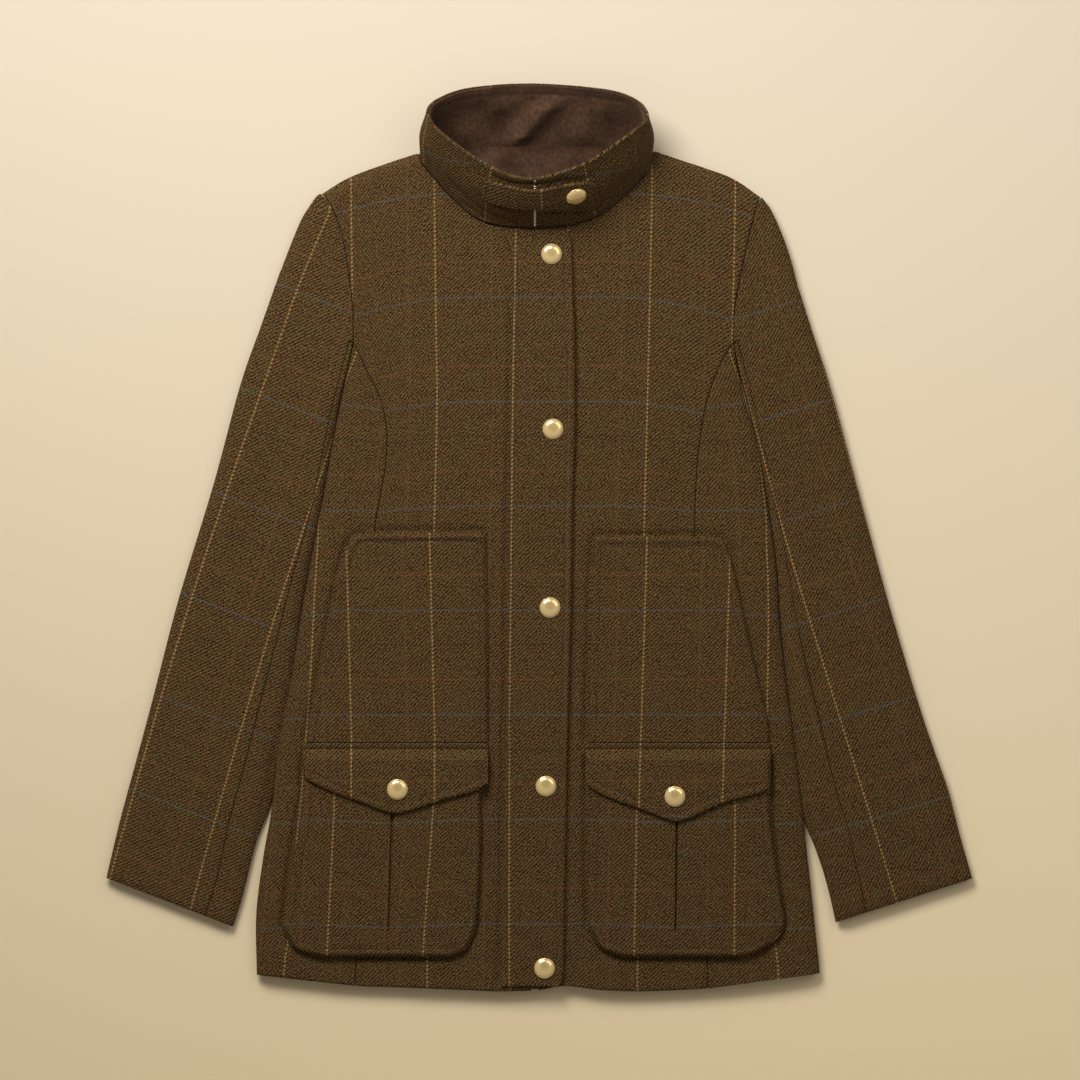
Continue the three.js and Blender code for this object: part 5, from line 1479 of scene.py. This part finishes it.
# Pocket flaps
# Pointed tweed flaps, sewn down above the pocket mouths along a narrow strip and snapped at the point.
FLAP = {
    "right": [(-212.6, -213.8), (-209.7, -217.4), (-186.8, -228.5), (-159.2, -238.7), (-137, -246.9),
              (-128, -248.2), (-117, -246), (-85.8, -235.9), (-56.3, -227.6), (-45.9, -221.2)],
    "left": [(41.8, -221), (48.8, -227.3), (65.3, -235), (92.8, -245), (114.9, -253.4), (123, -255.5),
             (135, -252.4), (166.2, -238.7), (202, -228.5), (208.2, -223.6)],
}
FLAP_TOP = -184.5
FLAP_STRIP = 5.6
FLAP_SEAM_START = 9
FLAP_TOP_ROWS = [0, 0.15, 0.5, 1, 1.7, 2.5, 3.4, 4.2, 4.8, 5.2, FLAP_STRIP, 6, 6.5, 7.2, 8.2, 9.6,
                 11, 12.6, 14, 15.5]
FLAP_STEP = [(0, 12.3), (4.2, 12.3), (5.6, 12.3), (7.5, 13.6), (15.5, 18.3), (30, 18.6), (75, 18.9)]
GOLD_FLAP = {
    "right": [(-235, -94.2), (-190, -94.2)],
    "left": [(-235, 89.7), (-190, 91)],
}


def flap_under(down):
    return np.interp(down, *np.array(FLAP_STEP).T)


for side in ("right", "left"):
    rows = np.array(FLAP[side])
    width = rows[-1, 0] - rows[0, 0]
    x = rows[0, 0] + width * places(width, 70, EDGE, EDGE)[0]
    bottom_y = through(rows, x)
    top_part = np.array(FLAP_TOP_ROWS)
    length = FLAP_TOP - FLAP_TOP_ROWS[-1] - bottom_y
    rest = places(length, 22, [0, 1], EDGE)[:, 1:]
    down = np.hstack([top_part + 0 * x[:, None], FLAP_TOP_ROWS[-1] + rest * length[:, None]])
    y = FLAP_TOP - down
    x_grid = x[:, None] + 0 * y
    outline = list(zip(x, bottom_y))
    sides = [[(x[0], FLAP_TOP), (x[0], bottom_y[0])], [(x[-1], FLAP_TOP), (x[-1], bottom_y[-1])]]
    found = [distance_to_line(line, x_grid, y) for line in [outline] + sides]
    from_edge = np.minimum.reduce(found)
    lift = LAYER - round_drop(np.minimum(from_edge, down), 1.7, 1.5)
    lift = lift - 0.9 * np.exp(-(((down - FLAP_STRIP) / 0.7) ** 2))
    lift = lift + 0.5 * rolled_edge(from_edge, BORDER) * np.clip((down - FLAP_SEAM_START) / 6, 0, 1)
    under = flap_under(down)
    wave = ripple(x_grid, y)
    outer = np.stack([x_grid, y, under + lift + wave], axis=-1)
    inner = np.stack([x_grid, y, under + wave], axis=-1)
    s = x_grid - through(GOLD_FLAP[side], y)
    fabric = np.stack([s, y - BLUE_Y - 3], axis=-1)
    mesh = wall_mesh(f"pocket_flap_{side}", outer, inner, fabric)
    piece = add_piece(mesh, tweed, [f"pocket_flap_{side}"])
    inset = [point for point in inset_line(outline, BORDER) if point[1] < FLAP_TOP - FLAP_SEAM_START]
    add_rows(f"pocket_flap_{side}_stitches", [on_cloth(mesh, inset)], STITCH, thread)

# Zip
# The metal zip between the fronts, on a woven tape. It shows only where it runs up the collar's slit.
ZIP_MIDDLE = -4
ZIP_THICK = 2.4
ZIP_HEIGHT = 10
zip_path = [(-406.5, ZIP_HEIGHT, 2.8, 0), (0, ZIP_HEIGHT, 2.8, 0), (268, ZIP_HEIGHT, 2.8, 0),
            (276, ZIP_HEIGHT + 0.4, 0.8, 0.32)]
for share in (0.08, 0.3, 0.55, 0.8, 0.97):
    point = collar_point(0.0, share, ZIP_THICK)
    zip_path.append((float(point[1]), float(point[2]), 0.8, 0.95))
zip_path = np.array(zip_path)
index = np.arange(len(zip_path))
at = np.linspace(0, len(zip_path) - 1, 81)
y, z, half, lean = (np.interp(at, index, zip_path[:, k])[:, None] for k in range(4))
u = np.linspace(-1, 1, 5)[None, :]


def zip_face(way):
    x = ZIP_MIDDLE + u * half
    return np.stack([x, y - way * np.sin(lean) * ZIP_THICK / 2 + 0 * x,
                     z + way * np.cos(lean) * ZIP_THICK / 2 + 0 * x], axis=-1)


ZIP_TAPE = (0.035, 0.026, 0.017, 1)
tape, tree, shader = new_material("zip tape")
node_input(shader, "Base Color", ZIP_TAPE)
node_input(shader, "Roughness", 0.75)
fabric = np.stack([ZIP_MIDDLE + u * half, y + 0 * u], axis=-1)
mesh = wall_mesh("zip", zip_face(1), zip_face(-1), fabric)
piece = add_piece(mesh, tape, ["zip"])

TEETH = {"Pitch": 0.0021, "Size": (0.0013, 0.0006, 0.00075), "Seed": 3}
teeth_metal, tree, shader = new_material("zip teeth")
node_input(shader, "Base Color", (1.0, 0.86, 0.60, 1))
node_input(shader, "Metallic", 0.6)
node_input(shader, "Roughness", 0.25)
teeth_line = [collar_point(0.0, share, 0.5) for share in np.linspace(0.05, 0.95, 40)]
add_rows("zip_teeth", [teeth_line], TEETH, teeth_metal)

# Snaps
# Domed snap caps of polished pale gold, pressed through the placket, the pocket flaps and the tab.
SNAP_RADIUS = 9.3
SNAP_HEIGHT = 3.4
SNAP_SIDES = 72
SNAP_SEAT = 0.3
SNAP_PROFILE = [(0, 0), (0.95, 0), (0.985, 0.05), (1, 0.14), (0.985, 0.22), (0.95, 0.27), (0.93, 0.3),
                (0.915, 0.38), (0.88, 0.5), (0.82, 0.63), (0.73, 0.75), (0.62, 0.85), (0.5, 0.92),
                (0.36, 0.965), (0.2, 0.99), (0, 1)]
PLACKET_SNAPS = [(11, 255.2), (12.3, 97.7), (9.6, -63), (6, -223.7), (4.7, -387.5)]
FLAP_SNAPS = {"right": (-127.6, -226.4), "left": (121.9, -232.7)}
TAB_SNAP = {"place": -1.3, "share": 0.6, "lift": 1.15}

gold, tree, shader = new_material("polished gold")
node_input(shader, "Base Color", (1.0, 0.76, 0.36, 1))
node_input(shader, "Metallic", 0.55)
node_input(shader, "Roughness", 0.14)


def add_snap(name, place, up):
    radius, height = np.array(SNAP_PROFILE).T
    turn = np.linspace(0, 2 * math.pi, SNAP_SIDES, endpoint=False)
    ring = np.stack([
        radius[1:-1, None] * np.cos(turn) * SNAP_RADIUS,
        radius[1:-1, None] * np.sin(turn) * SNAP_RADIUS,
        height[1:-1, None] * SNAP_HEIGHT + 0 * turn,
    ], axis=-1)
    rings = len(ring)
    points = np.concatenate([ring.reshape(-1, 3), [[0, 0, 0], [0, 0, SNAP_HEIGHT]]])
    rotation = Vector((0, 0, 1)).rotation_difference(Vector(up)).to_matrix()
    points = points @ np.array(rotation).T + np.asarray(place)
    faces = []
    for i in range(rings - 1):
        for j in range(SNAP_SIDES):
            k = (j + 1) % SNAP_SIDES
            low, high = i * SNAP_SIDES, (i + 1) * SNAP_SIDES
            faces.append((low + j, low + k, high + k, high + j))
    for j in range(SNAP_SIDES):
        k = (j + 1) % SNAP_SIDES
        faces.append((rings * SNAP_SIDES, k, j))
        faces.append((rings * SNAP_SIDES + 1, (rings - 1) * SNAP_SIDES + j, (rings - 1) * SNAP_SIDES + k))
    mesh = bpy.data.meshes.new(name)
    mesh.from_pydata((points * MM).tolist(), [], faces)
    mesh.polygons.foreach_set("use_smooth", np.ones(len(faces), bool))
    mesh.set_sharp_from_angle(angle=math.radians(60))
    piece = add_piece(mesh, gold, [name])


for k, (x, y) in enumerate(PLACKET_SNAPS):
    z = BASE + LAYER + float(ripple(np.array(float(x)), np.array(float(y))))
    add_snap(f"snap_{k + 1}", (x, y, z + SNAP_SEAT), (0, 0, 1))
for side, (x, y) in FLAP_SNAPS.items():
    z = float(flap_under(FLAP_TOP - y)) + LAYER + float(ripple(np.array(float(x)), np.array(float(y))))
    add_snap(f"snap_flap_{side}", (x, y, z + SNAP_SEAT), (0, 0, 1))
normal = collar_normal(np.array(TAB_SNAP["place"]), np.array(TAB_SNAP["share"]))
crease = float(collar_crease(np.array(TAB_SNAP["place"]), np.array(TAB_SNAP["share"])))
depth = -GAP - TAB_WALL - TAB_SNAP["lift"] - SNAP_SEAT - crease
point = collar_point(TAB_SNAP["place"], TAB_SNAP["share"], depth)
add_snap("snap_collar", point, -normal)
